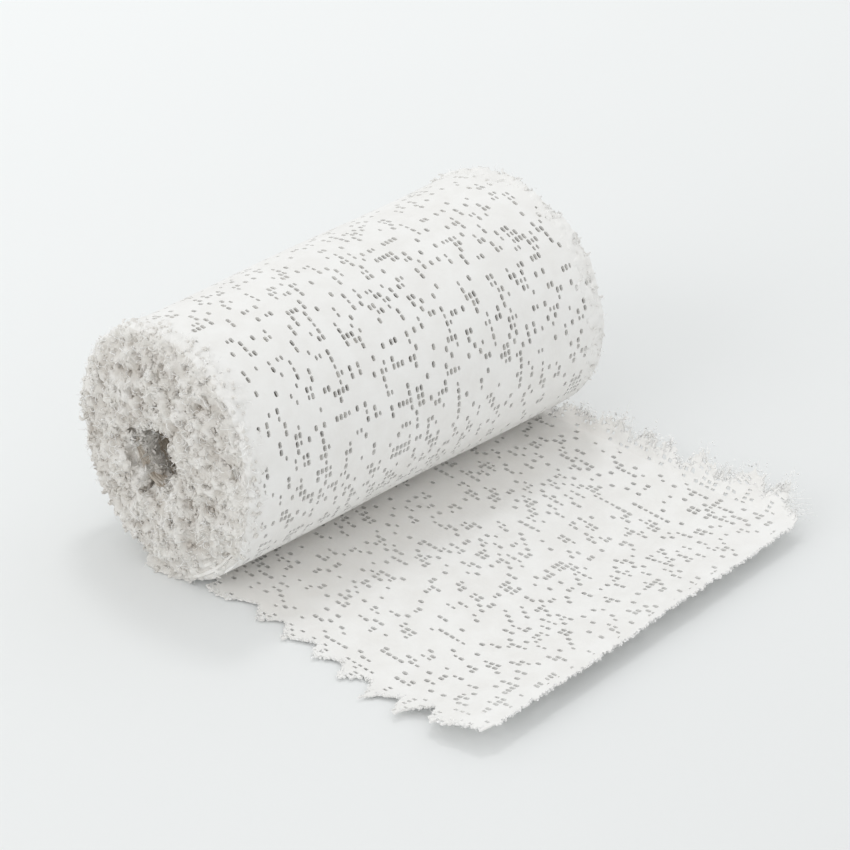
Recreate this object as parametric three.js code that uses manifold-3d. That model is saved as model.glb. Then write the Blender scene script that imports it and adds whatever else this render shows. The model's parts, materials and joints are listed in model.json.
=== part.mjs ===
// Plaster bandage roll: gauze coated with plaster, wound on itself round an open core, with its
// loose end drawn out flat in front. Millimetres, +Z up. The roll lies along X and rests on a
// small flat spot whose middle is the origin; the loose end runs out towards -Y.

import * as THREE from 'three'
import { mergeVertices } from 'three/addons/utils/BufferGeometryUtils.js'
import Module from 'manifold-3d'

const wasm = await Module()
wasm.setup()

// Driving dimensions
const CLOTH_WIDTH = 90
const SHEET_THICKNESS = 1
const CLEARANCE = 0.3

const ROLL = {
  nearX: -44.5,
  farX: -44.5 + CLOTH_WIDTH,
  near: { halfWidth: 24.2, halfHeight: 26.3 },
  far: { halfWidth: 26.2, halfHeight: 25.5 },
  tilt: THREE.MathUtils.degToRad(13),
  sink: 0.75,
  core: { radius: 7.2, offsetY: -0.7, offsetZ: 1.4 },
  sides: 48,
  stations: 13,
  unevenness: 0.3,
}

const TAIL = {
  leftX: -41.3,
  rightX: 47.4,
  rootY: -10.5,
  leftEndY: -79.6,
  rightEndY: -76.3,
  cellsAcross: 22,
  cellsAlong: 18,
}

// Height of the loose end's underside above the surface, at its front corners and its right edge
const LIFT = { frontLeft: 2.4, frontMiddle: 1.4, frontRight: 1.2, rightEdge: 1.5, ripple: 0.18 }

// Frayed face on each end of the roll, as depths out from the cloth's edge
const FRAYED_FACES = [
  { name: 'frayed_face_left', cloth: ROLL.nearX, side: -1, rimDepth: 1.5, coreDepth: 3.8, seed: 11 },
  { name: 'frayed_face_right', cloth: ROLL.farX, side: 1, rimDepth: 1.6, coreDepth: 3, seed: 12 },
]
const FACE = {
  rings: 11,
  turnsShown: 3,
  ridgeHeight: 0.55,
  lump: 0.45,
  rimInset: 0.5,
  locks: 58,
  lockLength: 1.9,
  lockWidth: 0.55,
}

// Fringe along each side of the loose end. A tuft is a clump of thread ends stuck together.
const FRINGES = [
  {
    name: 'fringe_left', x: TAIL.leftX, side: -1, endY: TAIL.leftEndY,
    tufts: 8, strandsPerTuft: 6, shortest: 1.2, longest: 6.2, rake: 38, rise: 0, seed: 21,
  },
  {
    name: 'fringe_right', x: TAIL.rightX, side: 1, endY: TAIL.rightEndY,
    tufts: 8, strandsPerTuft: 6, shortest: 5, longest: 9, rake: 14, rise: 34, seed: 22,
  },
]
const FRINGE = { stripWidth: 1.5, strandWidth: 0.42, strandHeight: 0.6 }

const PLASTER = { color: 0xf1f1ee, roughness: 0.95, metalness: 0 }
const FRAY = { color: 0xd9d5cc, roughness: 1, metalness: 0 }

// Random numbers between 0 and 1, the same on every run
function seededRandom(seed) {
  let state = seed
  return () => {
    state = (state + 0x6d2b79f5) | 0
    let mixed = Math.imul(state ^ (state >>> 15), 1 | state)
    mixed = (mixed + Math.imul(mixed ^ (mixed >>> 7), 61 | mixed)) ^ mixed
    return ((mixed ^ (mixed >>> 14)) >>> 0) / 4294967296
  }
}

function geometryFrom(points, triangles) {
  const geometry = new THREE.BufferGeometry()
  const positions = points.flatMap((point) => [point.x, point.y, point.z])
  geometry.setAttribute('position', new THREE.Float32BufferAttribute(positions, 3))
  geometry.setIndex(triangles)
  return geometry
}

function toSolid(geometry) {
  const bare = geometry.clone()
  bare.deleteAttribute('normal')
  bare.deleteAttribute('uv')
  const merged = mergeVertices(bare)
  const mesh = new wasm.Mesh({
    numProp: 3,
    vertProperties: merged.attributes.position.array,
    triVerts: new Uint32Array(merged.index.array),
  })
  return new wasm.Manifold(mesh)
}

function fromSolid(solid) {
  const mesh = solid.getMesh()
  const geometry = new THREE.BufferGeometry()
  geometry.setAttribute('position', new THREE.BufferAttribute(mesh.vertProperties, 3))
  geometry.setIndex(new THREE.BufferAttribute(mesh.triVerts, 1))
  geometry.computeVertexNormals()
  return geometry
}

function namedMesh(name, geometry, look) {
  geometry.computeVertexNormals()
  const mesh = new THREE.Mesh(geometry, new THREE.MeshStandardMaterial(look))
  mesh.name = name
  return mesh
}

// The wound roll's oval section at a place along its axis
function ovalAt(x) {
  const share = THREE.MathUtils.clamp((x - ROLL.nearX) / CLOTH_WIDTH, 0, 1)
  const halfWidth = THREE.MathUtils.lerp(ROLL.near.halfWidth, ROLL.far.halfWidth, share)
  const halfHeight = THREE.MathUtils.lerp(ROLL.near.halfHeight, ROLL.far.halfHeight, share)
  const reach = Math.hypot(halfWidth * Math.sin(ROLL.tilt), halfHeight * Math.cos(ROLL.tilt))
  return { halfWidth, halfHeight, centreZ: reach - ROLL.sink }
}

// A point of the roll: share 0 is the core's wall and share 1 the outside. Nothing reaches
// below the surface, which leaves the flat spot.
function woundPoint(x, angle, share, inset = 0) {
  const oval = ovalAt(x)
  const swell = ROLL.unevenness * Math.sin(3 * angle + 0.06 * x) * Math.sin(0.05 * x + 1)
  const across = (oval.halfWidth + swell - inset) * Math.cos(angle)
  const up = (oval.halfHeight + swell - inset) * Math.sin(angle)
  const outerY = across * Math.cos(ROLL.tilt) - up * Math.sin(ROLL.tilt)
  const outerZ = across * Math.sin(ROLL.tilt) + up * Math.cos(ROLL.tilt)
  const radius = ROLL.core.radius * (1 + 0.05 * Math.sin(2 * angle + 0.04 * x))
  const coreY = ROLL.core.offsetY + radius * Math.cos(angle + ROLL.tilt)
  const coreZ = ROLL.core.offsetZ + radius * Math.sin(angle + ROLL.tilt)
  const y = THREE.MathUtils.lerp(coreY, outerY, share)
  const z = THREE.MathUtils.lerp(coreZ, outerZ, share)
  return new THREE.Vector3(x, y, Math.max(0, oval.centreZ + z))
}

// Closes a loop of rings into one body with a hole through it
function bodyFromRings(rings) {
  const sides = rings[0].length
  const triangles = []
  for (let ring = 0; ring < rings.length; ring += 1) {
    const next = (ring + 1) % rings.length
    for (let side = 0; side < sides; side += 1) {
      const turn = (side + 1) % sides
      const a = ring * sides + side
      const b = ring * sides + turn
      const c = next * sides + turn
      const d = next * sides + side
      triangles.push(a, b, c, a, c, d)
    }
  }
  return geometryFrom(rings.flat(), triangles)
}

function ringOf(pointAt) {
  return Array.from({ length: ROLL.sides }, (_, side) => pointAt((side / ROLL.sides) * 2 * Math.PI))
}

function woundRoll() {
  const stations = Array.from({ length: ROLL.stations }, (_, index) => {
    return ROLL.nearX + (CLOTH_WIDTH * index) / (ROLL.stations - 1)
  })
  const outside = stations.map((x) => ringOf((angle) => woundPoint(x, angle, 1)))
  const farFace = [0.66, 0.33].map((share) => ringOf((angle) => woundPoint(ROLL.farX, angle, share)))
  const core = stations
    .filter((_, index) => index % 3 === 0)
    .reverse()
    .map((x) => ringOf((angle) => woundPoint(x, angle, 0)))
  const nearFace = [0.33, 0.66].map((share) => ringOf((angle) => woundPoint(ROLL.nearX, angle, share)))
  return bodyFromRings([...outside, ...farFace, ...core, ...nearFace])
}

// How far a frayed face stands out of the cloth's edge: a shallow dome with the turns' spiral
// ridges and lumps of plaster
function frayedDepth(face, angle, share, lump) {
  const dome = THREE.MathUtils.lerp(face.coreDepth, face.rimDepth, share ** 1.6)
  const ridge = FACE.ridgeHeight * Math.cos(2 * Math.PI * FACE.turnsShown * share + angle)
  const soften = Math.sin(Math.PI * THREE.MathUtils.clamp(share, 0.08, 0.92))
  return dome + (ridge + FACE.lump * lump) * soften
}

// One tapering lock of threads with three sides, its root sunk in what carries it
function lockOf(root, direction, length, width, height) {
  const along = direction.clone().normalize()
  const across = new THREE.Vector3(0, 0, 1).cross(along)
  if (across.lengthSq() < 0.01) across.set(0, 1, 0)
  across.normalize()
  const up = along.clone().cross(across).normalize()
  const corners = [
    { across: -1, up: 0 },
    { across: 1, up: 0 },
    { across: 0, up: 1 },
  ]
  const sections = [
    { at: 0, size: 1 },
    { at: 0.6, size: 0.75 },
    { at: 1, size: 0.25 },
  ]
  const points = []
  for (const section of sections) {
    for (const corner of corners) {
      const point = root.clone().addScaledVector(along, section.at * length)
      point.addScaledVector(across, corner.across * width * section.size)
      point.addScaledVector(up, corner.up * height * section.size)
      points.push(point)
    }
  }
  const triangles = [0, 2, 1, 6, 7, 8]
  for (const start of [0, 3]) {
    for (let corner = 0; corner < 3; corner += 1) {
      const next = (corner + 1) % 3
      triangles.push(start + corner, start + next, start + 3 + next)
      triangles.push(start + corner, start + 3 + next, start + 3 + corner)
    }
  }
  return toSolid(geometryFrom(points, triangles))
}

function joined(body, locks) {
  const solid = wasm.Manifold.union([toSolid(body), ...locks])
  const floor = toSolid(new THREE.BoxGeometry(400, 400, 40).translate(0, 0, -20))
  return fromSolid(solid.subtract(floor))
}

function frayedFace(face) {
  const random = seededRandom(face.seed)
  const foot = face.cloth + face.side * CLEARANCE
  const shares = Array.from({ length: FACE.rings }, (_, index) => index / (FACE.rings - 1))
  const front = shares.map((share) =>
    ringOf((angle) => {
      const depth = frayedDepth(face, angle, share, 2 * random() - 1)
      return woundPoint(foot, angle, share, FACE.rimInset * (1 + share)).setX(foot + face.side * depth)
    }),
  )
  const back = [1, 0.5, 0].map((share) =>
    ringOf((angle) => woundPoint(foot, angle, share, FACE.rimInset)),
  )
  const rings = [...front, ...back]
  const body = bodyFromRings(face.side > 0 ? rings.reverse() : rings)
  const locks = Array.from({ length: FACE.locks }, (_, index) => {
    const angle = ((index + 0.6 * random()) / FACE.locks) * 2 * Math.PI
    const root = woundPoint(foot, angle, 1, 3 * FACE.rimInset)
    root.setX(foot + face.side * 0.4 * face.rimDepth)
    const outward = woundPoint(foot, angle, 1).sub(woundPoint(foot, angle, 0)).normalize()
    const lean = outward.multiplyScalar(0.25 * random())
    const direction = new THREE.Vector3(face.side, 0, 0).add(lean)
    const length = face.rimDepth + FACE.lockLength * (0.4 + 0.6 * random())
    return lockOf(root, direction, length, FACE.lockWidth, FACE.lockWidth)
  })
  return joined(body, locks)
}

// Underside of the loose end above the surface. across and along run from 0 to 1, from the
// left edge to the right one and from the roll to the cut edge.
function liftAt(across, along) {
  const front = THREE.MathUtils.smoothstep(along, 0.6, 1) ** 1.5
  const leftShare = THREE.MathUtils.clamp(1 - 2.5 * across, 0, 1)
  const rightShare = THREE.MathUtils.clamp(2.5 * across - 1.5, 0, 1)
  const middleShare = 1 - leftShare - rightShare
  const frontLift =
    LIFT.frontLeft * leftShare + LIFT.frontMiddle * middleShare + LIFT.frontRight * rightShare
  const curl = LIFT.rightEdge * THREE.MathUtils.smoothstep(across, 0.8, 1) ** 1.4
  const curlFade = THREE.MathUtils.smoothstep(along, 0, 0.3) * (1 - 0.6 * front)
  const ripple = LIFT.ripple * (1 + Math.sin(9 * across + 2) * Math.sin(7 * along)) * along
  return front * frontLift + curl * curlFade + ripple
}

function tailPoint(across, along, height) {
  const x = THREE.MathUtils.lerp(TAIL.leftX, TAIL.rightX, across)
  const endY = THREE.MathUtils.lerp(TAIL.leftEndY, TAIL.rightEndY, across)
  const y = THREE.MathUtils.lerp(TAIL.rootY, endY, along)
  return new THREE.Vector3(x, y, liftAt(across, along) + height)
}

// A sheet of even thickness over a grid of places
function slabOf(cellsAcross, cellsAlong, pointAt) {
  const across = cellsAcross + 1
  const along = cellsAlong + 1
  const points = []
  for (const height of [0, SHEET_THICKNESS]) {
    for (let row = 0; row < along; row += 1) {
      for (let column = 0; column < across; column += 1) {
        points.push(pointAt(column / cellsAcross, row / cellsAlong, height))
      }
    }
  }
  const layer = across * along
  const triangles = []
  const quad = (a, b, c, d) => triangles.push(a, b, c, a, c, d)
  for (let row = 0; row < cellsAlong; row += 1) {
    for (let column = 0; column < cellsAcross; column += 1) {
      const a = row * across + column
      const c = a + across + 1
      quad(a, a + 1, c, a + across)
      quad(layer + a, layer + a + across, layer + c, layer + a + 1)
    }
  }
  const rim = []
  for (let column = 0; column < cellsAcross; column += 1) rim.push(column)
  for (let row = 0; row < cellsAlong; row += 1) rim.push(row * across + cellsAcross)
  for (let column = cellsAcross; column > 0; column -= 1) rim.push(cellsAlong * across + column)
  for (let row = cellsAlong; row > 0; row -= 1) rim.push(row * across)
  rim.forEach((place, index) => {
    const next = rim[(index + 1) % rim.length]
    quad(place, layer + place, layer + next, next)
  })
  return geometryFrom(points, triangles)
}

function looseEnd() {
  return slabOf(TAIL.cellsAcross, TAIL.cellsAlong, tailPoint)
}

// A narrow strip of the cloth's edge with its tufts of thread ends
function sideFringe(fringe) {
  const random = seededRandom(fringe.seed)
  const edge = fringe.side < 0 ? 0 : 1
  const innerX = fringe.x + fringe.side * CLEARANCE
  const stripPoint = (across, along, height) => {
    const outward = fringe.side < 0 ? 1 - across : across
    const x = innerX + fringe.side * outward * FRINGE.stripWidth
    return tailPoint(edge, along, height).setX(x)
  }
  const strip = slabOf(1, TAIL.cellsAlong, stripPoint)
  const strands = fringe.tufts * fringe.strandsPerTuft
  const rake = Math.tan(THREE.MathUtils.degToRad(fringe.rake))
  const rise = Math.tan(THREE.MathUtils.degToRad(fringe.rise))
  const locks = Array.from({ length: strands }, (_, index) => {
    const along = (index + 0.7) / (strands + 0.4)
    const within = (index % fringe.strandsPerTuft) / (fringe.strandsPerTuft - 1)
    const root = tailPoint(edge, along, 0.5 * (SHEET_THICKNESS - FRINGE.strandHeight))
    root.setX(innerX + 0.5 * fringe.side * FRINGE.stripWidth)
    const spread = 0.25 * (random() - 0.5)
    const direction = new THREE.Vector3(fringe.side, rake + spread, rise * (0.8 + 0.4 * random()))
    const reach = THREE.MathUtils.lerp(fringe.shortest, fringe.longest, within * (0.75 + 0.25 * random()))
    const fullLength = 0.5 * FRINGE.stripWidth + reach * Math.hypot(1, rake)
    return lockOf(root, direction, fullLength, FRINGE.strandWidth, FRINGE.strandHeight)
  })
  return joined(strip, locks)
}

const bandage = new THREE.Group()
bandage.add(namedMesh('roll', woundRoll(), PLASTER))
bandage.add(namedMesh('loose_end', looseEnd(), PLASTER))
for (const face of FRAYED_FACES) bandage.add(namedMesh(face.name, frayedFace(face), FRAY))
for (const fringe of FRINGES) bandage.add(namedMesh(fringe.name, sideFringe(fringe), FRAY))

export default bandage
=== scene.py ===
# %% [markdown]
# # A plaster bandage roll
# Open gauze is coated with wet plaster, dried and wound up tight. Water wakes the plaster again
# when the bandage is used. Its looks come from four things: a matt white sheet peppered with the
# gauze cells that stayed open, the crumbly frayed ends of all its turns, a sawtooth edge where
# the plaster holds thread ends together, and a curled edge where the threads stand free.
#
# This lesson weaves the cloth flat, as the real one is made, and then winds it onto the frame.

# %% The frame
import json
import math
import random

import bmesh
import bpy
import numpy as np
from mathutils import Matrix, Vector, noise

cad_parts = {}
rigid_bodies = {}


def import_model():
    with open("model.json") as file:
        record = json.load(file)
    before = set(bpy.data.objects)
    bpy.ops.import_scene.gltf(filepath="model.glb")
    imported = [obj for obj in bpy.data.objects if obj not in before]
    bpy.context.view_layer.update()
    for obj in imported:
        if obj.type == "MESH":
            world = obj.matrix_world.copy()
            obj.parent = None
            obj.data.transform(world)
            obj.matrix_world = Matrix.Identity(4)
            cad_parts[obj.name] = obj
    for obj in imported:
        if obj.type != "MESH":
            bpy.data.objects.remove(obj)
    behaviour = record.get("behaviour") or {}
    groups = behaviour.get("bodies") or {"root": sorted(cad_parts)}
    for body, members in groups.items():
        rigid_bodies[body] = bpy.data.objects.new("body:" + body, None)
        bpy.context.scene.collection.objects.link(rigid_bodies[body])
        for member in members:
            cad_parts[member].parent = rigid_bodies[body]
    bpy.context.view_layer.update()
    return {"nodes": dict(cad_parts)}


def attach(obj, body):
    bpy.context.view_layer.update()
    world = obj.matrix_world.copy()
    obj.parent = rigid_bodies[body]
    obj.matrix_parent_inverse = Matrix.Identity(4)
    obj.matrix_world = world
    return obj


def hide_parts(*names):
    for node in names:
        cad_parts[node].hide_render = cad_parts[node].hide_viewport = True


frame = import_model()
print("frame nodes:", ", ".join(sorted(frame["nodes"])))

# %% [markdown]
# The camera comes first, because everything after it is judged in its view. It looks down at the
# near end of the roll from the front left, from far enough away that the roll hardly narrows.
# Its place is worked out from two angles and a distance, and then it leans a little to one side.

# %% The camera
CAMERA_TURN = math.radians(-46.794)
CAMERA_RISE = math.radians(31.658)
CAMERA_LEAN = math.radians(1.402)
CAMERA_DISTANCE = 0.61945
CAMERA_TARGET = Vector((0.00475, -0.01963, 0.01951))
CAMERA_LENS = 135.53


def place_camera():
    back = Vector((
        math.sin(CAMERA_TURN) * math.cos(CAMERA_RISE),
        -math.cos(CAMERA_TURN) * math.cos(CAMERA_RISE),
        math.sin(CAMERA_RISE),
    ))
    level = (-back).cross(Vector((0, 0, 1))).normalized()
    above = level.cross(-back)
    right = math.cos(CAMERA_LEAN) * level + math.sin(CAMERA_LEAN) * above
    up = -math.sin(CAMERA_LEAN) * level + math.cos(CAMERA_LEAN) * above
    data = bpy.data.cameras.new("camera")
    data.lens = CAMERA_LENS
    camera = bpy.data.objects.new("camera", data)
    turned = Matrix((right, up, back)).transposed().to_4x4()
    camera.matrix_world = Matrix.Translation(CAMERA_TARGET + CAMERA_DISTANCE * back) @ turned
    bpy.context.scene.collection.objects.link(camera)
    return camera


bpy.context.scene.camera = place_camera()
print("camera at", tuple(round(c, 3) for c in bpy.context.scene.camera.location))

# %% [markdown]
# Node trees are easier to read when making a node, setting its sockets and wiring it is one
# call. A value that is itself a socket is wired, and any other value is set. Sums and mixes of
# two colours come up often, so they have a call of their own. The Mix node keeps a set of
# sockets for each kind of value, and its colour sockets are found by their number.

# %% One call for one node
MIX_SHARE = 0
MIX_FIRST_COLOUR = 6
MIX_SECOND_COLOUR = 7
MIXED_COLOUR = 2


def node(tree, kind, inputs=None, **settings):
    made = tree.nodes.new(kind)
    for name, value in settings.items():
        setattr(made, name, value)
    for socket, value in (inputs or {}).items():
        if isinstance(value, bpy.types.NodeSocket):
            tree.links.new(value, made.inputs[socket])
        else:
            made.inputs[socket].default_value = value
    return made


def math_node(tree, operation, *values):
    return node(tree, "ShaderNodeMath", dict(enumerate(values)), operation=operation).outputs[0]


def mixed_colour(tree, share, first, second):
    mixed = node(tree, "ShaderNodeMix", {
        MIX_SHARE: share, MIX_FIRST_COLOUR: first, MIX_SECOND_COLOUR: second,
    }, data_type="RGBA")
    return mixed.outputs[MIXED_COLOUR]


# %% [markdown]
# ## Finishes
# Dry plaster is matt and chalky. It is never one even white: where it lies thicker it is
# brighter, and its surface has the ghost of the threads under a fine powder. A warm painted
# shade is mixed in next to the roll and in the frayed ends' hollows. The cloth carries its own
# flat coordinates as a UV map, in gauze cells, so the thread pattern follows it round the roll.

# %% Parts of a finish
DARK_BELOW = 0.36
LIGHT_ABOVE = 0.62
ROUGHNESS_PATCHES = 900
DULL_SHINE = 0.2
LIGHT_REACH = 0.0006


def mottled_colour(tree, where, dark, light, scale, detail=4.0):
    patches = node(tree, "ShaderNodeTexNoise", {
        "Vector": where, "Scale": scale, "Detail": detail, "Roughness": 0.6,
    })
    ramp = node(tree, "ShaderNodeValToRGB", {"Fac": patches.outputs["Fac"]})
    ramp.color_ramp.elements[0].position = DARK_BELOW
    ramp.color_ramp.elements[0].color = (*dark, 1)
    ramp.color_ramp.elements[1].position = LIGHT_ABOVE
    ramp.color_ramp.elements[1].color = (*light, 1)
    return ramp.outputs["Color"]


def powder_height(tree, where, grain, lump):
    grains = node(tree, "ShaderNodeTexNoise", {"Vector": where, "Scale": grain, "Detail": 6.0})
    lumps = node(tree, "ShaderNodeTexNoise", {"Vector": where, "Scale": lump, "Detail": 2.0})
    return math_node(tree, "ADD", grains.outputs["Fac"], lumps.outputs["Fac"])


def uneven_roughness(tree, where, low, high):
    patches = node(tree, "ShaderNodeTexNoise", {"Vector": where, "Scale": ROUGHNESS_PATCHES})
    spread = node(tree, "ShaderNodeMapRange", {
        "Value": patches.outputs["Fac"], "From Min": 0.3, "From Max": 0.7,
        "To Min": low, "To Max": high,
    })
    return spread.outputs["Result"]


def matt_material(name, colour_of, height_of, bump_strength, bump_distance, roughness,
                  light_let_through=0.0):
    material = bpy.data.materials.new(name)
    material.use_nodes = True
    tree = material.node_tree
    shader = tree.nodes["Principled BSDF"]
    where = node(tree, "ShaderNodeTexCoord").outputs["Object"]
    tree.links.new(colour_of(tree, where), shader.inputs["Base Color"])
    bump = node(tree, "ShaderNodeBump", {
        "Height": height_of(tree, where), "Strength": bump_strength, "Distance": bump_distance,
    })
    tree.links.new(bump.outputs["Normal"], shader.inputs["Normal"])
    tree.links.new(uneven_roughness(tree, where, *roughness), shader.inputs["Roughness"])
    shader.inputs["Specular IOR Level"].default_value = DULL_SHINE
    if light_let_through:
        shader.inputs["Subsurface Weight"].default_value = light_let_through
        shader.inputs["Subsurface Radius"].default_value = (1, 1, 1)
        shader.inputs["Subsurface Scale"].default_value = LIGHT_REACH
    print("finish:", name, "with", len(tree.nodes), "nodes")
    return material


# %% Plaster-coated cloth
STRIP_MAP = "strip"
# Name of the attribute that says how much painted shade each point's colour gets.
PAINTED_SHADE_MAP = "painted_shade"
ONE_WAVE_A_CELL = 0.314
THREAD_GHOST = 0.12
CLOTH_COLOURS = ((0.855, 0.845, 0.825), (0.895, 0.89, 0.875))
# Warm painted shade, which the cloth's finish mixes in where a point's attribute asks for it.
CLOTH_PAINTED_SHADE = (0.70, 0.64, 0.57)


def thread_waves(tree, cells, direction):
    return node(tree, "ShaderNodeTexWave", {
        "Vector": cells, "Scale": ONE_WAVE_A_CELL, "Distortion": 0.6, "Detail": 2.0,
    }, bands_direction=direction).outputs["Fac"]


def thread_height(tree, where):
    cells = node(tree, "ShaderNodeUVMap", uv_map=STRIP_MAP).outputs["UV"]
    threads = math_node(
        tree, "ADD", thread_waves(tree, cells, "X"), thread_waves(tree, cells, "Y"))
    powder = powder_height(tree, where, grain=6500, lump=420)
    return math_node(tree, "MULTIPLY_ADD", threads, THREAD_GHOST, powder)


# Mixes painted shade into a colour, as much as the point's attribute says.
def with_painted_shade(tree, colour, shade):
    painted_shade = node(tree, "ShaderNodeAttribute", attribute_name=PAINTED_SHADE_MAP).outputs["Fac"]
    return mixed_colour(tree, painted_shade, colour, (*shade, 1))


plaster_cloth = matt_material(
    "matt_white_plaster",
    lambda tree, where: with_painted_shade(
        tree, mottled_colour(tree, where, *CLOTH_COLOURS, scale=160), CLOTH_PAINTED_SHADE),
    thread_height, bump_strength=0.25, bump_distance=0.00015, roughness=(0.86, 1.0),
)

# %% [markdown]
# The frayed ends are the same plaster over bare cotton. Their hollows get a warm grey-brown
# painted shade, kept as an attribute on the crust, so the shade follows its shape. Where a mesh
# has no such attribute it reads as 0, and the plaster stays pale. Fluff is so thin that it lets
# light through, which keeps it white where it lies over the dark hollows.

# %% Frayed ends
FRAY_COLOURS = ((0.80, 0.78, 0.74), (0.87, 0.853, 0.825))
# Painted shade mixed into the frayed ends' hollows.
FRAY_SHADE = (0.52, 0.475, 0.425)
CRUMB_COLOURS = ((0.825, 0.81, 0.785), (0.885, 0.88, 0.865))
FLUFF_COLOURS = ((0.92, 0.915, 0.90), (0.96, 0.955, 0.945))


def crumbly_finish(name, colour_of, bump_strength=0.6, bump_distance=0.0003,
                   light_let_through=0.0):
    return matt_material(
        name, colour_of, lambda tree, where: powder_height(tree, where, grain=5200, lump=1300),
        bump_strength, bump_distance, (0.9, 1.0), light_let_through)


frayed_plaster = crumbly_finish(
    "plaster_on_thread_ends",
    lambda tree, where: with_painted_shade(
        tree, mottled_colour(tree, where, *FRAY_COLOURS, scale=420), FRAY_SHADE),
)
pale_crumbs = crumbly_finish(
    "pale_plaster_crumbs",
    lambda tree, where: mottled_colour(tree, where, *CRUMB_COLOURS, scale=300),
)
pale_fluff = crumbly_finish(
    "pale_cotton_fluff",
    lambda tree, where: mottled_colour(tree, where, *FLUFF_COLOURS, scale=500),
    bump_strength=0.4, bump_distance=0.0002, light_let_through=0.6,
)

# %% Shaded turns and the core's wall
# The first colour is painted shade: it stands for the deep shade seen through the open cells.
SHADED_COLOURS = ((0.21, 0.195, 0.175), (0.90, 0.88, 0.84))
CORE_WALL_COLOURS = ((0.50, 0.415, 0.33), (0.88, 0.82, 0.74))


def streaked(tree, where, around):
    """Shrinks coordinates across the roll's axis, which draws a noise out into streaks round it."""
    squeezed = node(tree, "ShaderNodeVectorMath", {0: where, 1: (1.0, around, around)},
                    operation="MULTIPLY")
    return squeezed.outputs["Vector"]


shaded_turn = matt_material(
    "turn_in_the_shade",
    lambda tree, where: mottled_colour(tree, where, *SHADED_COLOURS, scale=430, detail=1.0),
    lambda tree, where: powder_height(tree, where, grain=4000, lump=900),
    bump_strength=0.5, bump_distance=0.0002, roughness=(0.92, 1.0),
)
core_wall_finish = matt_material(
    "threads_on_the_core_wall",
    lambda tree, where: mottled_colour(
        tree, streaked(tree, where, 0.25), *CORE_WALL_COLOURS, scale=1500),
    lambda tree, where: powder_height(tree, streaked(tree, where, 0.3), grain=3600, lump=1200),
    bump_strength=0.8, bump_distance=0.0004, roughness=(0.92, 1.0),
)

# %% [markdown]
# ## The wound section
# The roll isn't a true cylinder: it is a soft oval that leans a little, rests on a flat spot and
# is fatter at its far end. These are the frame's own sizes, in millimetres, so the cloth lies
# exactly on the solid that carries it. An angle of 0 is the back, 90 the top, 180 the front.

# %% Sizes of the section
MM = 0.001
FULL_TURN = 2 * math.pi
CLOTH_WIDTH = 90.0
NEAR_X = -44.5
NEAR_HALF_WIDTH = 24.2
NEAR_HALF_HEIGHT = 26.3
FAR_HALF_WIDTH = 26.2
FAR_HALF_HEIGHT = 25.5
SECTION_LEAN = math.radians(13)
FLAT_SPOT_DEPTH = 0.75
CORE_RADIUS = 7.2
CORE_SIDEWAYS = -0.7
CORE_UP = 1.4
CORE_UNEVENNESS = 0.05
CORE_TWIST = 0.04
UNEVENNESS = 0.3
SWELL_TWIST = 0.06
SWELL_ALONG = 0.05


def section_at(x):
    share = np.clip((x - NEAR_X) / CLOTH_WIDTH, 0, 1)
    half_width = NEAR_HALF_WIDTH + (FAR_HALF_WIDTH - NEAR_HALF_WIDTH) * share
    half_height = NEAR_HALF_HEIGHT + (FAR_HALF_HEIGHT - NEAR_HALF_HEIGHT) * share
    reach = np.hypot(half_width * math.sin(SECTION_LEAN), half_height * math.cos(SECTION_LEAN))
    return half_width, half_height, reach - FLAT_SPOT_DEPTH


def wound_point(x, angle, share, inset=0.0):
    """share 0 is the core's wall and share 1 the outside of the roll."""
    half_width, half_height, centre_z = section_at(x)
    swell = UNEVENNESS * np.sin(3 * angle + SWELL_TWIST * x) * np.sin(SWELL_ALONG * x + 1)
    across = (half_width + swell - inset) * np.cos(angle)
    up = (half_height + swell - inset) * np.sin(angle)
    outer_y = across * math.cos(SECTION_LEAN) - up * math.sin(SECTION_LEAN)
    outer_z = across * math.sin(SECTION_LEAN) + up * math.cos(SECTION_LEAN)
    radius = CORE_RADIUS * (1 + CORE_UNEVENNESS * np.sin(2 * angle + CORE_TWIST * x))
    core_y = CORE_SIDEWAYS + radius * np.cos(angle + SECTION_LEAN)
    core_z = CORE_UP + radius * np.sin(angle + SECTION_LEAN)
    y = core_y + (outer_y - core_y) * share
    z = centre_z + core_z + (outer_z - core_z) * share
    return np.stack(np.broadcast_arrays(x, y, np.maximum(z, inset)), axis=-1)


print("roll's top at the middle: %.1f mm" % wound_point(0.0, math.radians(80), 1.0)[2])

# %% [markdown]
# ## Weaving the cloth
# Gauze is a grid of cells about one millimetre wide. Plaster fills most of them and leaves about
# one in four open or half clogged, often in short chains along the strip. A see-through texture
# would have no thickness and cast no shade into its holes, and cutting a thousand holes by hand
# is out of the question. So each cell is a tile: a plain quad, or a quad with an eight-sided
# hole, whose corners always meet its neighbours'. Geometry Nodes lays the tiles, picks the open
# ones from seeded noises and welds them into one sheet.

# %% Meshes from points
def plain_mesh(name, points, faces):
    mesh = bpy.data.meshes.new(name)
    mesh.from_pydata([tuple(p) for p in points], [], [tuple(f) for f in faces])
    mesh.update()
    return mesh


def placed(name, mesh):
    made = bpy.data.objects.new(name, mesh)
    bpy.context.scene.collection.objects.link(made)
    return made


def mesh_object(name, points, faces):
    return placed(name, plain_mesh(name, points, faces))


def ring_faces(rings, sides, closed):
    """Quads between rings of points. A closed body also joins its last ring to the first."""
    faces = []
    for ring in range(rings if closed else rings - 1):
        after = (ring + 1) % rings
        for side in range(sides):
            turn = (side + 1) % sides
            faces.append((ring * sides + side, ring * sides + turn,
                          after * sides + turn, after * sides + side))
    return faces


def points_of(mesh):
    points = np.empty(len(mesh.vertices) * 3, np.float32)
    mesh.vertices.foreach_get("co", points)
    return points.reshape(-1, 3)


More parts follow.
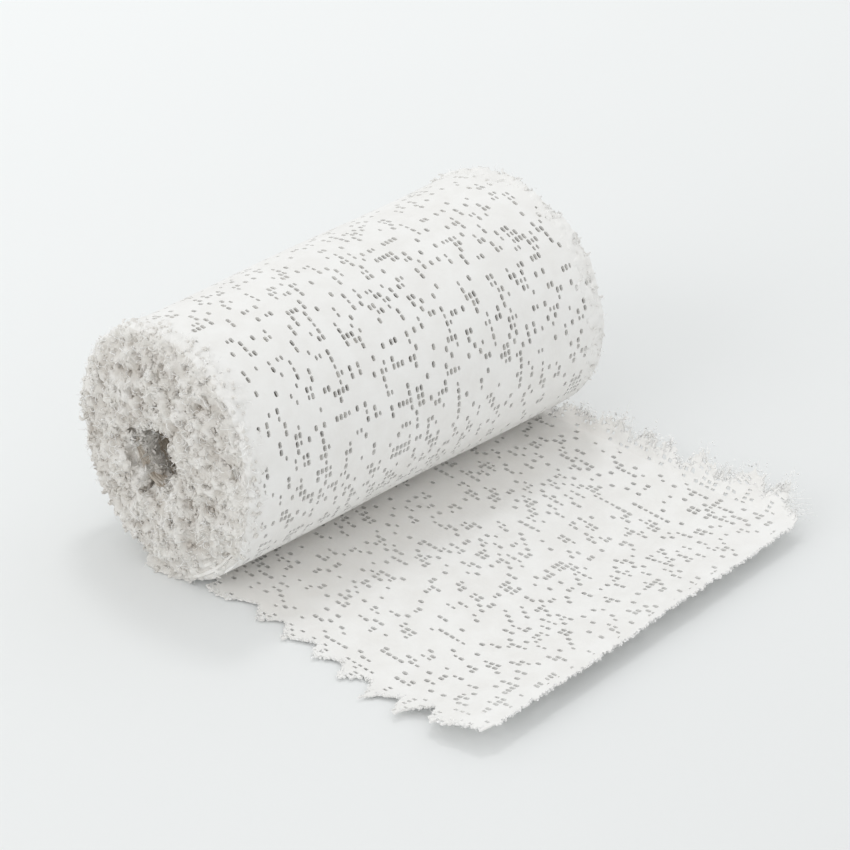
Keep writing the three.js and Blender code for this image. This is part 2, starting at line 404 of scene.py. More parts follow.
def set_points(mesh, points):
    """Takes points in millimetres and gives them to the mesh in metres."""
    mesh.vertices.foreach_set("co", (points * MM).astype(np.float32).ravel())
    mesh.update()


def point_values(mesh, name, values):
    layer = mesh.attributes.new(name, "FLOAT", "POINT")
    layer.data.foreach_set("value", np.asarray(values, np.float32))


# %% The tiles
TILE_CORNERS = [(-0.5, -0.5, 0), (0.5, -0.5, 0), (0.5, 0.5, 0), (-0.5, 0.5, 0)]
HOLE_CUT = 0.45
OPEN_HOLE = (0.81, 0.82)
CLOGGED_HOLE = (0.58, 0.64)


def open_tile(name, hole_width, hole_length):
    """Each corner of the hole is cut off, which rounds it and leaves eight sides."""
    points = list(TILE_CORNERS)
    for corner, (x, y, _) in enumerate(TILE_CORNERS):
        on_side = (x * hole_width, y * hole_length * (1 - HOLE_CUT), 0)
        on_end = (x * hole_width * (1 - HOLE_CUT), y * hole_length, 0)
        points += [on_side, on_end] if corner % 2 == 0 else [on_end, on_side]
    faces = []
    for corner in range(4):
        arriving = 4 + 2 * corner
        leaving = arriving + 1
        following = (corner + 1) % 4
        faces.append((corner, following, 4 + 2 * following, leaving))
        faces.append((corner, leaving, arriving))
    return mesh_object(name, points, faces)


tiles = {
    "Closed tile": mesh_object("closed_tile", TILE_CORNERS, [(0, 1, 2, 3)]),
    "Open tile": open_tile("open_tile", *OPEN_HOLE),
    "Clogged tile": open_tile("clogged_tile", *CLOGGED_HOLE),
}
print("tiles:", ", ".join(f"{t.name} {len(t.data.polygons)} faces" for t in tiles.values()))

# %% Trees and what grows from them
WELD_DISTANCE = 0.002


def new_tree(name, inputs):
    """inputs are names and kinds of sockets, such as Seed and Int."""
    tree = bpy.data.node_groups.new(name, "GeometryNodeTree")
    for label, kind in {"Geometry": "Geometry", **inputs}.items():
        tree.interface.new_socket(name=label, in_out="INPUT", socket_type="NodeSocket" + kind)
    tree.interface.new_socket(
        name="Geometry", in_out="OUTPUT", socket_type="NodeSocketGeometry")
    return tree, tree.nodes.new("NodeGroupInput").outputs


def end_tree(tree, geometry, material):
    solid = node(tree, "GeometryNodeRealizeInstances", {"Geometry": geometry})
    welded = node(tree, "GeometryNodeMergeByDistance", {
        "Geometry": solid.outputs["Geometry"], "Distance": WELD_DISTANCE,
    })
    dressed = node(tree, "GeometryNodeSetMaterial", {
        "Geometry": welded.outputs["Geometry"], "Material": material,
    })
    node(tree, "NodeGroupOutput", {"Geometry": dressed.outputs["Geometry"]})
    print("tree:", tree.name, "with", len(tree.nodes), "nodes")


def add_wall(carrier, thickness):
    wall = carrier.modifiers.new("thickness", "SOLIDIFY")
    wall.thickness = thickness
    wall.offset = -1


def taken_mesh(carrier):
    """Keeps what the carrier's modifiers made as a plain mesh, and drops the carrier."""
    graph = bpy.context.evaluated_depsgraph_get()
    mesh = bpy.data.meshes.new_from_object(carrier.evaluated_get(graph))
    bpy.data.objects.remove(carrier)
    return mesh


def grown_mesh(carrier, tree, values, thickness=0.0):
    """What the tree grows on the carrier. Its inputs are set before it is first evaluated."""
    grower = carrier.modifiers.new(tree.name, "NODES")
    grower.node_group = tree
    for socket in tree.interface.items_tree:
        if socket.in_out == "INPUT" and socket.name in values:
            grower[socket.identifier] = values[socket.name]
    if thickness:
        add_wall(carrier, thickness)
    return taken_mesh(carrier)


# %% [markdown]
# Which cells stayed open isn't pure chance. Wet plaster bridges a cell more easily where its
# neighbours are filled, so open ones gather in chains along the strip and in wider patches, with
# single ones between them. Each of these is a noise of its own, stretched to fit, and a cell is
# open where their sum is high. A last noise says which of the open cells are half clogged.

# %% The tree that weaves
CELL_NOISES = {
    "chains": {"across": 2.37, "along": 0.36, "layer": 0.31},
    "patches": {"across": 0.61, "along": 0.43, "layer": 7.77},
    "singles": {"across": 3.13, "along": 2.71, "layer": 4.19},
    "clogging": {"across": 1.91, "along": 1.37, "layer": 2.53},
}
PATCHES_COUNT = 0.20
SINGLES_COUNT = 0.60


def noise_field(tree, place, seed, across, along, layer):
    """A seeded noise that is stretched across and along the strip."""
    stretched = node(tree, "ShaderNodeVectorMath", {
        0: place, 1: (across, along, 1.0)}, operation="MULTIPLY")
    depth = node(tree, "ShaderNodeCombineXYZ", {"Z": math_node(tree, "ADD", seed, layer)})
    moved = node(tree, "ShaderNodeVectorMath", {
        0: stretched.outputs["Vector"], 1: depth.outputs["Vector"]}, operation="ADD")
    return node(tree, "ShaderNodeTexNoise", {
        "Vector": moved.outputs["Vector"], "Scale": 1.0, "Detail": 0.0}).outputs["Fac"]


def compared(tree, value, operation, limit):
    return node(tree, "FunctionNodeCompare", {"A": value, "B": limit},
                data_type="FLOAT", operation=operation).outputs["Result"]


def grid_length(tree, cells, cell_size):
    """From the middle of the first cell to the middle of the last one."""
    return math_node(tree, "MULTIPLY", math_node(tree, "SUBTRACT", cells, 1.0), cell_size)


def chosen_cells(tree, given):
    """For each tile, the cells of the grid that it is laid on."""
    place = node(tree, "GeometryNodeInputPosition").outputs["Position"]
    fields = {name: noise_field(tree, place, given["Seed"], **stretch)
              for name, stretch in CELL_NOISES.items()}
    score = math_node(tree, "MULTIPLY_ADD", fields["patches"], PATCHES_COUNT, fields["chains"])
    score = math_node(tree, "MULTIPLY_ADD", fields["singles"], SINGLES_COUNT, score)
    is_open = compared(tree, score, "GREATER_THAN", given["Open above"])
    is_clogged = compared(tree, fields["clogging"], "LESS_THAN", given["Clogged below"])
    both = {0: is_open, 1: is_clogged}
    return {
        "Closed tile": node(tree, "FunctionNodeBooleanMath", {0: is_open}, operation="NOT"),
        "Open tile": node(tree, "FunctionNodeBooleanMath", both, operation="NIMPLY"),
        "Clogged tile": node(tree, "FunctionNodeBooleanMath", both, operation="AND"),
    }


def weaving_tree():
    tree, given = new_tree("gauze_with_open_cells", {
        "Cells across": "Int", "Cells along": "Int",
        "Cell width": "Float", "Cell length": "Float",
        "Open above": "Float", "Clogged below": "Float", "Seed": "Int",
        "Closed tile": "Object", "Open tile": "Object", "Clogged tile": "Object",
        "Material": "Material",
    })
    centres = node(tree, "GeometryNodeMeshGrid", {
        "Size X": grid_length(tree, given["Cells across"], given["Cell width"]),
        "Size Y": grid_length(tree, given["Cells along"], given["Cell length"]),
        "Vertices X": given["Cells across"], "Vertices Y": given["Cells along"]})
    size = node(tree, "ShaderNodeCombineXYZ", {
        "X": given["Cell width"], "Y": given["Cell length"], "Z": 1.0}).outputs["Vector"]
    laid = node(tree, "GeometryNodeJoinGeometry")
    for label, chosen in chosen_cells(tree, given).items():
        tile = node(tree, "GeometryNodeObjectInfo", {"Object": given[label]})
        put = node(tree, "GeometryNodeInstanceOnPoints", {
            "Points": centres.outputs["Mesh"], "Selection": chosen.outputs["Boolean"],
            "Instance": tile.outputs["Geometry"], "Scale": size})
        tree.links.new(put.outputs["Instances"], laid.inputs["Geometry"])
    end_tree(tree, laid.outputs["Geometry"], given["Material"])
    return tree


weaving = weaving_tree()

# %% Flat cloth off the loom
CELL_WIDTH = 1.02
CELL_LENGTH = 1.5
CELLS_ACROSS_TURN = 91
CELLS_ACROSS_TAIL = 87
CLOTH_THICKNESS = 0.7
OPEN_ABOVE = 1.015
CLOGGED_BELOW = 0.44
ROW_WANDER = 0.16
FACES_ADDED_BY_A_HOLE = 22


def wander(here, there, quick, slow):
    """How far a thread strays from its straight line, in uneven waves."""
    return ROW_WANDER * np.sin(quick * here + 2 * np.sin(slow * there))


def map_strip(mesh, across, along):
    """Keeps each point's place on the flat strip as the UV map, counted in gauze cells."""
    corners = np.empty(len(mesh.loops), np.int32)
    mesh.loops.foreach_get("vertex_index", corners)
    cells = np.stack([across / CELL_WIDTH, along / CELL_LENGTH], axis=1)[corners]
    layer = mesh.uv_layers.new(name=STRIP_MAP)
    layer.data.foreach_set("uv", cells.astype(np.float32).ravel())


def flat_cloth(name, across, rows, seed):
    """A flat sheet's mesh and points: across and along from one corner, and height, in mm."""
    loom = mesh_object(name, [(0, 0, 0)], [])
    mesh = grown_mesh(loom, weaving, {
        "Cells across": across, "Cells along": rows,
        "Cell width": CELL_WIDTH, "Cell length": CELL_LENGTH,
        "Open above": OPEN_ABOVE, "Clogged below": CLOGGED_BELOW, "Seed": seed,
        "Material": plaster_cloth, **tiles,
    }, thickness=CLOTH_THICKNESS)
    flat = points_of(mesh).astype(float)
    flat[:, 2] -= flat[:, 2].max()
    flat[:, 0] += across * CELL_WIDTH / 2
    flat[:, 1] += rows * CELL_LENGTH / 2
    map_strip(mesh, flat[:, 0], flat[:, 1])
    wandering = wander(flat[:, 0], flat[:, 1], quick=0.31, slow=0.11)
    leaning = wander(flat[:, 1], flat[:, 0], quick=0.23, slow=0.17)
    flat[:, 1] += wandering
    flat[:, 0] += leaning
    cells_in_all = rows * across
    rim_faces = 2 * (rows + across)
    opened = (len(mesh.polygons) - 2 * cells_in_all - rim_faces) // FACES_ADDED_BY_A_HOLE
    print(f"{name}: {cells_in_all} cells, {opened / cells_in_all:.1%} of them open")
    return mesh, flat


# %% What every finished piece gets
CREASE_ANGLE = math.radians(50)


def finished_piece(name, mesh, material_slot, *replaced):
    """A smooth-shaded piece that rides on the root body and stands for the named nodes."""
    mesh.name = name
    mesh.shade_smooth()
    mesh.set_sharp_from_angle(angle=CREASE_ANGLE)
    piece = placed(name, mesh)
    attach(piece, "root")
    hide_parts(*replaced)
    count = sum(len(face.vertices) - 2 for face in mesh.polygons)
    print(f"piece {name}: {count} triangles")
    return piece


# %% [markdown]
# ## Winding the outer turn
# The strip doesn't stay square to the roll: as it was wound it crept sideways, so its left edge
# stands back under the roll and reaches furthest in front. The turn starts tucked in where roll
# and loose end meet, goes up the front, over the top, down the back and under the roll. Bending
# it with a modifier would stretch it where the oval is flat, so a table of angles against length
# along the section keeps every cell its true size.

# %% Where the strip's edges run
LEFT_EDGE_LOW = -41.3
LEFT_EDGE_FRONT = -45.0
RIGHT_EDGE_LOW = 47.5
RIGHT_EDGE_FRONT = 48.7
CREEP_FROM = math.radians(-95)
CREEP_TO = math.radians(185)
TURN_START = math.radians(246)
TURN_END = math.radians(-112)
TUCK_FROM = math.radians(212)
TUCK_DEPTH = 1.05
SECTION_STEPS = 1200


def eased(value, start, end):
    share = np.clip((value - start) / (end - start), 0, 1)
    return share * share * (3 - 2 * share)


def crept(angle, low, front):
    share = eased(angle, CREEP_FROM, CREEP_TO)
    ripple = 0.25 * np.sin(4 * angle) + 0.15 * np.sin(9 * angle + 1)
    return low + (front - low) * share + ripple


def left_edge_at(angle):
    return crept(angle, LEFT_EDGE_LOW, LEFT_EDGE_FRONT)


def right_edge_at(angle):
    return crept(angle, RIGHT_EDGE_LOW, RIGHT_EDGE_FRONT)


section_angles = np.linspace(TURN_START, TURN_END, SECTION_STEPS)
section_line = wound_point(0.0, section_angles, 1.0)[:, 1:]
section_steps = np.hypot(*np.diff(section_line, axis=0).T)
section_lengths = np.concatenate([[0], np.cumsum(section_steps)])
turn_rows = round(section_lengths[-1] / CELL_LENGTH)
print(f"outer turn: {section_lengths[-1]:.1f} mm long, {turn_rows} rows of cells")

# %% The outer turn
def wind_outer_turn():
    mesh, flat = flat_cloth("outer_turn", CELLS_ACROSS_TURN, turn_rows, seed=4)
    width = CELLS_ACROSS_TURN * CELL_WIDTH
    stretch = section_lengths[-1] / (turn_rows * CELL_LENGTH)
    angle = np.interp(flat[:, 1] * stretch, section_lengths, section_angles)
    inset = TUCK_DEPTH * eased(angle, TUCK_FROM, TURN_START) - flat[:, 2]
    left = left_edge_at(angle)
    x = left + (right_edge_at(angle) - left) * flat[:, 0] / width
    set_points(mesh, wound_point(x, angle, 1.0, inset))
    piece = finished_piece("outer_turn", mesh, "plaster_cloth", "roll")


wind_outer_turn()

# %% [markdown]
# ## The turn below and the core
# Through each open cell the eye meets the next turn in deep shade. A second woven turn would be
# truer, but it would cost as much as the first and hardly show. So it is one closed body just
# under the cloth, mottled dark as painted shade, and some cells look deep and some half filled.
# The same body has the open core, whose wall is a mat of thread ends.

# %% The turn below
BELOW_DEPTH = 0.8
BELOW_NEAR_X = -41.0
BELOW_FAR_X = 46.2
BELOW_STATIONS = 40
BELOW_SIDES = 120
END_SHARES = (0.7, 0.4)
CORE_NEAR_X = -46.0
CORE_FAR_X = 46.6
CORE_LUMPS = 0.02


def turn_below():
    angles = np.linspace(0, FULL_TURN, BELOW_SIDES, endpoint=False)
    outside = np.linspace(BELOW_NEAR_X, BELOW_FAR_X, BELOW_STATIONS)
    rings = [wound_point(x, angles, 1.0, BELOW_DEPTH) for x in outside]
    rings += [wound_point(BELOW_FAR_X, angles, share, BELOW_DEPTH) for share in END_SHARES]
    wall = np.linspace(CORE_FAR_X, CORE_NEAR_X, BELOW_STATIONS)
    lumps = random.Random(7)
    for x in wall:
        bulge = np.array([CORE_LUMPS + CORE_LUMPS * lumps.random() for _ in angles])
        rings.append(wound_point(x, angles, bulge, BELOW_DEPTH))
    rings += [wound_point(BELOW_NEAR_X, angles, share, BELOW_DEPTH)
              for share in reversed(END_SHARES)]
    faces = ring_faces(len(rings), BELOW_SIDES, closed=True)
    mesh = plain_mesh("turn_below", np.concatenate(rings) * MM, faces)
    mesh.materials.append(shaded_turn)
    mesh.materials.append(core_wall_finish)
    first_of_wall = BELOW_STATIONS + 1
    for index, face in enumerate(mesh.polygons):
        ring = index // BELOW_SIDES
        face.material_index = 1 if ring >= first_of_wall else 0
    return finished_piece("turn_below", mesh, "plaster_fray", "roll")


turn_below()

# %% [markdown]
# ## The loose end
# The last of the strip lies on the table in front, the other way up from the turn that it
# leaves. It is cut straight across, and it lifts towards the cut and curls along its right edge.
# The frame's own formula gives its form. Here its cut lies nearly 2 mm further out and 2 mm
# higher than the solid's, because the real one casts a wide shadow there.

# %% Sizes of the loose end
TAIL_RIGHT_X = 47.4
TAIL_ROOT_Y = -10.5
TAIL_LEFT_END_Y = -81.5
TAIL_RIGHT_END_Y = -77.9
LIFT_FRONT_LEFT = 4.0
LIFT_FRONT_MIDDLE = 3.4
LIFT_FRONT_RIGHT = 2.9
LIFT_FROM = 0.6
LIFT_BEND = 1.5
LIFT_CORNERS_FADE = 2.5
LIFT_RIGHT_EDGE = 1.5
CURL_FROM = 0.8
CURL_BEND = 1.4
LIFT_RIPPLE = 0.18
TAIL_REST = 0.12


def lift_at(across, along):
    front = eased(along, LIFT_FROM, 1) ** LIFT_BEND
    left = np.clip(1 - LIFT_CORNERS_FADE * across, 0, 1)
    right = np.clip(LIFT_CORNERS_FADE * across - (LIFT_CORNERS_FADE - 1), 0, 1)
    middle = 1 - left - right
    cut_lift = LIFT_FRONT_LEFT * left + LIFT_FRONT_MIDDLE * middle + LIFT_FRONT_RIGHT * right
    curl_up = LIFT_RIGHT_EDGE * eased(across, CURL_FROM, 1) ** CURL_BEND
    curl_fade = eased(along, 0, 0.3) * (1 - 0.6 * front)
    ripple = LIFT_RIPPLE * (1 + np.sin(9 * across + 2) * np.sin(7 * along)) * along
    return front * cut_lift + curl_up * curl_fade + ripple


def tail_point(across, along, height):
    """across 0 to 1 is the left edge to the right one, along 0 to 1 the roll to the cut."""
    x = LEFT_EDGE_LOW + (TAIL_RIGHT_X - LEFT_EDGE_LOW) * across
    end_y = TAIL_LEFT_END_Y + (TAIL_RIGHT_END_Y - TAIL_LEFT_END_Y) * across
    y = TAIL_ROOT_Y + (end_y - TAIL_ROOT_Y) * along
    lift = lift_at(across, np.clip(along, 0, 1)) + TAIL_REST
    return np.stack(np.broadcast_arrays(x, y, lift + height), axis=-1)


print("the cut's left corner is lifted %.1f mm" % lift_at(0.0, 1.0))

# %% [markdown]
# Next to the roll the cloth gets a warm painted shade. That is a value on each point, which the
# finish reads, so it needs no second material. The sheet also gets thinner towards its edges,
# where the webs that come later carry it on.

# %% The loose end
TAIL_ROWS = 48
TAIL_UNDER_ROLL = 2.4
# Painted shade on the cloth next to the roll: how much, and where it fades out.
SHADE_NEAR_ROLL = 0.14
SHADE_NEAR_ROLL_FROM_Y = -24.0
SHADE_NEAR_ROLL_TO_Y = -36.0
THINNED_AT_EDGE = 0.5
THINNED_BAND = 1.6


# Paints shade on a sheet next to the roll, plus as much more all over as is asked for.
def paint_shade_near_roll(mesh, more=0.0):
    y = points_of(mesh)[:, 1] / MM
    shade_share = np.clip(SHADE_NEAR_ROLL * eased(y, SHADE_NEAR_ROLL_TO_Y, SHADE_NEAR_ROLL_FROM_Y) + more, 0, 1)
    point_values(mesh, PAINTED_SHADE_MAP, shade_share)


def lay_loose_end():
    mesh, flat = flat_cloth("loose_end_cloth", CELLS_ACROSS_TAIL, TAIL_ROWS, seed=9)
    length = TAIL_ROWS * CELL_LENGTH
    width = CELLS_ACROSS_TAIL * CELL_WIDTH
    across = flat[:, 0] / width
    along = 1 - flat[:, 1] / length * (1 + TAIL_UNDER_ROLL / length)
    to_edge = np.minimum(flat[:, 1], np.minimum(flat[:, 0], width - flat[:, 0]))
    flat[:, 2] *= 1 - THINNED_AT_EDGE * eased(to_edge, THINNED_BAND, 0)
    set_points(mesh, tail_point(across, along, CLOTH_THICKNESS + flat[:, 2]))
    paint_shade_near_roll(mesh)
    piece = finished_piece("loose_end_cloth", mesh, "plaster_cloth", "loose_end")


# %% [markdown]
# ## Thread ends
# Where gauze is cut, its threads come loose and dry in the plaster as stiff little curls and
# crumbs. Hair would be too smooth and even for them. A handful of curls and crumbs is modelled,
# a few dozen faces each, and Geometry Nodes plants thousands of them: one tree scatters them
# over a surface, and another plants them on the points of a guide, where each point says how its
# thread leans and how long it is.

# %% Curls
def turn_outwards(mesh):
    shape = bmesh.new()
    shape.from_mesh(mesh)
    bmesh.ops.recalc_face_normals(shape, faces=shape.faces)
    shape.to_mesh(mesh)
    shape.free()


def curl(name, seed, radius, bend, rings=5, sides=4, knots=0.3):
    """One coated thread end, a millimetre long, that curls away from its root."""
    dice = random.Random(seed)
    heading = dice.uniform(0, FULL_TURN)
    turned = bend * dice.uniform(0.6, 1.2)
    place = Vector((0, 0, 0))
    points = []
    for ring in range(rings + 1):
        share = ring / rings
        tilt = turned * share
        heading += dice.uniform(-0.3, 0.3)
        outward = Vector((math.cos(heading), math.sin(heading), 0))
        ahead = math.sin(tilt) * outward + math.cos(tilt) * Vector((0, 0, 1))
        beside = ahead.cross(Vector((-outward.y, outward.x, 0)))
        around = ahead.cross(beside)
        size = radius * (1 - 0.6 * share ** 2) * (1 + knots * dice.uniform(-1, 1))
        for side in range(sides):
            turn = FULL_TURN * side / sides
            points.append(place + size * (math.cos(turn) * beside + math.sin(turn) * around))
        place = place + ahead / rings
    root = tuple(reversed(range(sides)))
    tip = tuple(range(rings * sides, (rings + 1) * sides))
    made = mesh_object(name, points, [root, *ring_faces(rings + 1, sides, closed=False), tip])
    turn_outwards(made.data)
    return made


# %% Crumbs, and the collections that hold both
def crumb(name, seed, radius, subdivisions=1):
    dice = random.Random(seed)
    shape = bmesh.new()
    bmesh.ops.create_icosphere(shape, subdivisions=subdivisions, radius=radius)
    for point in shape.verts:
        point.co *= dice.uniform(0.65, 1.3)
        point.co.z += 0.4 * radius
    mesh = bpy.data.meshes.new(name)
    shape.to_mesh(mesh)
    shape.free()
    return placed(name, mesh)


def gathered(name, members):
    """Puts the members in a collection of their own, which a tree can pick from."""
    group = bpy.data.collections.new(name)
    bpy.context.scene.collection.children.link(group)
    for member in members:
        bpy.context.scene.collection.objects.unlink(member)
        group.objects.link(member)
    print(name, "holds", len(members), "shapes")
    return group


thick_curls = gathered("thick_curls", [
    *(curl(f"thick_curl_{n}", n, radius=0.25, bend=2.3) for n in range(7)),
    *(crumb(f"crumb_{n}", n, radius=0.40, subdivisions=2) for n in range(3)),
])
fine_fluff = gathered("fine_fluff", [
    curl(f"fluff_{n}", 40 + n, radius=0.045, bend=2.4, sides=3, knots=0.2) for n in range(6)
])
spiky_threads = gathered("spiky_threads", [
    curl(f"spiky_thread_{n}", 60 + n, radius=0.042, bend=1.4 + 0.4 * n, rings=7, sides=3,
         knots=0.5)
    for n in range(6)
])
fine_crumbs = gathered("fine_crumbs", [
    crumb(f"fine_crumb_{n}", 80 + n, radius=0.2) for n in range(4)
])

# %% [markdown]
# Both trees plant in the same way: a shape from the collection, its root down, its tip along a
# direction, and spun about itself by chance. The first takes the direction from the surface,
# makes it untidy, and plants more where the surface's attribute is higher. The second reads it
# from the guide's points. Each random draw has a layer of its own, so no two of them go together.

# %% The two planting trees
FIRST_RANDOM_SOCKET = {"FLOAT_VECTOR": 0, "FLOAT": 2}
FRAY_MAP = "fray"
LEAN_MAP = "lean"
REACH_MAP = "reach"


def random_between(tree, low, high, seed, layer, data_type="FLOAT"):
    first = FIRST_RANDOM_SOCKET[data_type]
    dice = node(tree, "FunctionNodeRandomValue", {
        first: low, first + 1: high, "Seed": math_node(tree, "ADD", seed, layer),
    }, data_type=data_type)
    return next(output for output in dice.outputs if output.enabled)


def named_attribute(tree, name, data_type="FLOAT"):
    return node(tree, "GeometryNodeInputNamedAttribute", {"Name": name},
                data_type=data_type).outputs["Attribute"]


def plant(tree, given, points, ahead, size):
    """One shape of the collection on each point, its root down and its tip along ahead."""
    shapes = node(tree, "GeometryNodeCollectionInfo", {
        "Collection": given["Shapes"], "Separate Children": True, "Reset Children": True})
    aimed = node(tree, "FunctionNodeAlignRotationToVector", {"Vector": ahead}, axis="Z")
    spin = node(tree, "ShaderNodeCombineXYZ", {
        "Z": random_between(tree, 0.0, FULL_TURN, given["Seed"], layer=11.0)})
    turned = node(tree, "FunctionNodeRotateRotation", {
        "Rotation": aimed.outputs["Rotation"],
        "Rotate By": node(tree, "FunctionNodeEulerToRotation", {
            "Euler": spin.outputs["Vector"]}).outputs["Rotation"]}, rotation_space="LOCAL")
    put = node(tree, "GeometryNodeInstanceOnPoints", {
        "Points": points, "Instance": shapes.outputs["Instances"], "Pick Instance": True,
        "Rotation": turned.outputs["Rotation"], "Scale": size})
    return put.outputs["Instances"]


def scattering_tree():
    tree, given = new_tree("thread_ends_on_a_surface", {
        "Shapes": "Collection", "Density": "Float", "Shortest": "Float", "Longest": "Float",
        "Untidiness": "Float", "Seed": "Int", "Material": "Material"})
    density = math_node(tree, "MULTIPLY", given["Density"], named_attribute(tree, FRAY_MAP))
    spots = node(tree, "GeometryNodeDistributePointsOnFaces", {
        "Mesh": given["Geometry"], "Density": density, "Seed": given["Seed"]})
    stray = random_between(
        tree, (-1, -1, -1), (1, 1, 1), given["Seed"], layer=3.0, data_type="FLOAT_VECTOR")
    astray = node(tree, "ShaderNodeVectorMath", {
        0: stray, "Scale": given["Untidiness"]}, operation="SCALE")
    ahead = node(tree, "ShaderNodeVectorMath", {
        0: spots.outputs["Normal"], 1: astray.outputs["Vector"]}, operation="ADD")
    size = random_between(tree, given["Shortest"], given["Longest"], given["Seed"], layer=7.0)
    planted = plant(tree, given, spots.outputs["Points"], ahead.outputs["Vector"], size)
    end_tree(tree, planted, given["Material"])
    return tree


def guide_tree():
    tree, given = new_tree("thread_ends_on_a_guide", {
        "Shapes": "Collection", "Seed": "Int", "Material": "Material"})
    lean = named_attribute(tree, LEAN_MAP, data_type="FLOAT_VECTOR")
    girth = random_between(tree, 0.8, 1.6, given["Seed"], layer=5.0)
    size = node(tree, "ShaderNodeCombineXYZ", {
        "X": girth, "Y": girth, "Z": named_attribute(tree, REACH_MAP)})
    planted = plant(tree, given, given["Geometry"], lean, size.outputs["Vector"])
    end_tree(tree, planted, given["Material"])
    return tree


scattering = scattering_tree()
guided = guide_tree()

# %% A planted piece
LOWEST_THREAD = 0.02


def planted_piece(name, carrier, tree, values):
    """Thread ends that would dip into the table are laid on it."""
    mesh = grown_mesh(carrier, tree, values)
    points = points_of(mesh)
    points[:, 2] = np.maximum(points[:, 2], LOWEST_THREAD)
    set_points(mesh, points)
    return finished_piece(name, mesh, "plaster_fray")


# %% [markdown]
# ## The frayed faces
# Each end of the roll shows the cut edges of all its turns. Plaster has crumbled over them, so
# the face is a shallow dome of lumps like a cauliflower, with a ragged mouth where the core is.
# In front, low down, the last turns have come apart and show as ribbons with dark slits.
#
# Three things make a face. A closed crust is pushed out of a grid of rings by noises of several
# sizes. A spiral ribbon stands behind it and shows only where the crust lies low. Then curls,
# crumbs and fluff are scattered on the crust.

# %% Where a face lies
TURNS = 15
LOOSE_ANGLE = math.radians(222)
LOOSE_SPREAD = math.radians(27)
LOOSE_SHARES = (0.66, 0.86)
DOME_BEND = 1.6
EDGE_SHARES = (0.72, 0.98)
faces_of_roll = {
    "near": {
        "side": -1, "inner_x": -44.7, "core_depth": 3.7, "rim_depth": 1.7, "seed": 31,
        "curls": 0.46, "finish": frayed_plaster, "pale_rim": 0.8, "collar_fray": 0.8,
        "node": "frayed_face_left",
    },
    "far": {
        "side": 1, "inner_x": 47.2, "core_depth": 1.6, "rim_depth": 0.7, "seed": 57,
        "curls": 0.55, "finish": pale_crumbs, "pale_rim": 1.0, "collar_fray": 0.45,
        "node": "frayed_face_right",
    },
}


def loosened(angle):
    away = (angle - LOOSE_ANGLE + math.pi) % FULL_TURN - math.pi
    return np.exp(-(away / LOOSE_SPREAD) ** 2)


def edge_x(face, angle, share):
    """The cloth's edge on this face: the outer turns follow the strip's own sideways creep."""
    unwound = (angle - CREEP_FROM) % FULL_TURN + CREEP_FROM
    outer = left_edge_at(unwound) if face["side"] < 0 else right_edge_at(unwound)
    return face["inner_x"] + (outer - face["inner_x"]) * eased(share, *EDGE_SHARES)


def dome_depth(face, share):
    swell = np.clip(share, 0, 1) ** DOME_BEND
    return face["core_depth"] + (face["rim_depth"] - face["core_depth"]) * swell


def face_point(face, angle, share, depth, inset=0.0):
    point = wound_point(edge_x(face, angle, share), angle, share, inset)
    point[..., 0] += face["side"] * depth
    return point


print("faces:", ", ".join(face["node"] for face in faces_of_roll.values()))

# %% Lumps and waves
LUMP_EDGE = 0.85


def lumps_at(points, size, seed):
    """1 on top of a lump and 0 in the creases between the lumps, which are about size apart."""
    moved = Vector((1.7 * seed, 0.9 * seed, 0.3 * seed))
    away = [noise.voronoi(Vector(point) / size + moved)[0][0] for point in points]
    return np.clip(1 - (np.array(away) / LUMP_EDGE) ** 2, 0, 1)


def waves_at(points, size, seed):
    moved = Vector((0.4 * seed, 1.3 * seed, 2.1 * seed))
    return np.array([noise.noise(Vector(point) / size + moved) for point in points])


# %% [markdown]
# The crust is laid in rings that run round the roll's axis. They come up the core's wall, turn
# over at the mouth, cross the dome to the rim, lap over the cloth as a collar, and close behind
# it. Every ring has the same number of points, so the whole is one grid that ends where it began.

# %% The crust's rings
CRUST_SIDES = 330
WALL_RINGS = 16
DOME_RINGS = 48
COLLAR_RINGS = 10
FIRST_OF_COLLAR = WALL_RINGS + DOME_RINGS
FIRST_OF_BACK = FIRST_OF_COLLAR + COLLAR_RINGS + 1
WALL_DEPTH = 15.0
WALL_NARROWS_FROM = -6.0
WALL_STANDS_IN = 0.012
WALL_ROUGHNESS = 0.45
MOUTH_SHARE = -0.072
MOUTH_DEPTH = 0.6
MOUTH_DROP = 1.5
RIM_SHARE = 0.985
RIM_DROP = 0.5
COLLAR_DEPTH = 0.45
COLLAR_WIDTH = 3.6
COLLAR_TUCK = 0.5
BACK_INSET = 0.9
BACK = [(0.97, -2.6), (0.6, -3.2), (0.25, -3.4), (0.05, -4.0), (0.045, -WALL_DEPTH)]


def wall_rings():
    rings = []
    for depth in np.linspace(-WALL_DEPTH, MOUTH_DEPTH, WALL_RINGS):
        narrowing = MOUTH_SHARE * eased(depth, WALL_NARROWS_FROM, MOUTH_DEPTH)
        rings.append((narrowing - WALL_STANDS_IN, depth, 0.0, WALL_ROUGHNESS))
    return rings


def dome_rings(face):
    rings = []
    for share in np.linspace(MOUTH_SHARE, RIM_SHARE, DOME_RINGS):
        drop = MOUTH_DROP * eased(share, 0.04, MOUTH_SHARE) + RIM_DROP * eased(share, 0.95, 1.0)
        rings.append((share, float(dome_depth(face, share)) - drop, 0.0, 1.0))
    return rings


def collar_rings():
    rings = []
    for step in range(COLLAR_RINGS):
        share = step / (COLLAR_RINGS - 1)
        depth = COLLAR_DEPTH - COLLAR_WIDTH * share
        rings.append((1.0, depth, -0.28 + 0.36 * share, 0.6 - 0.2 * share))
    rings.append((1.0, COLLAR_DEPTH - COLLAR_WIDTH - COLLAR_TUCK, 0.6, 0.0))
    return rings


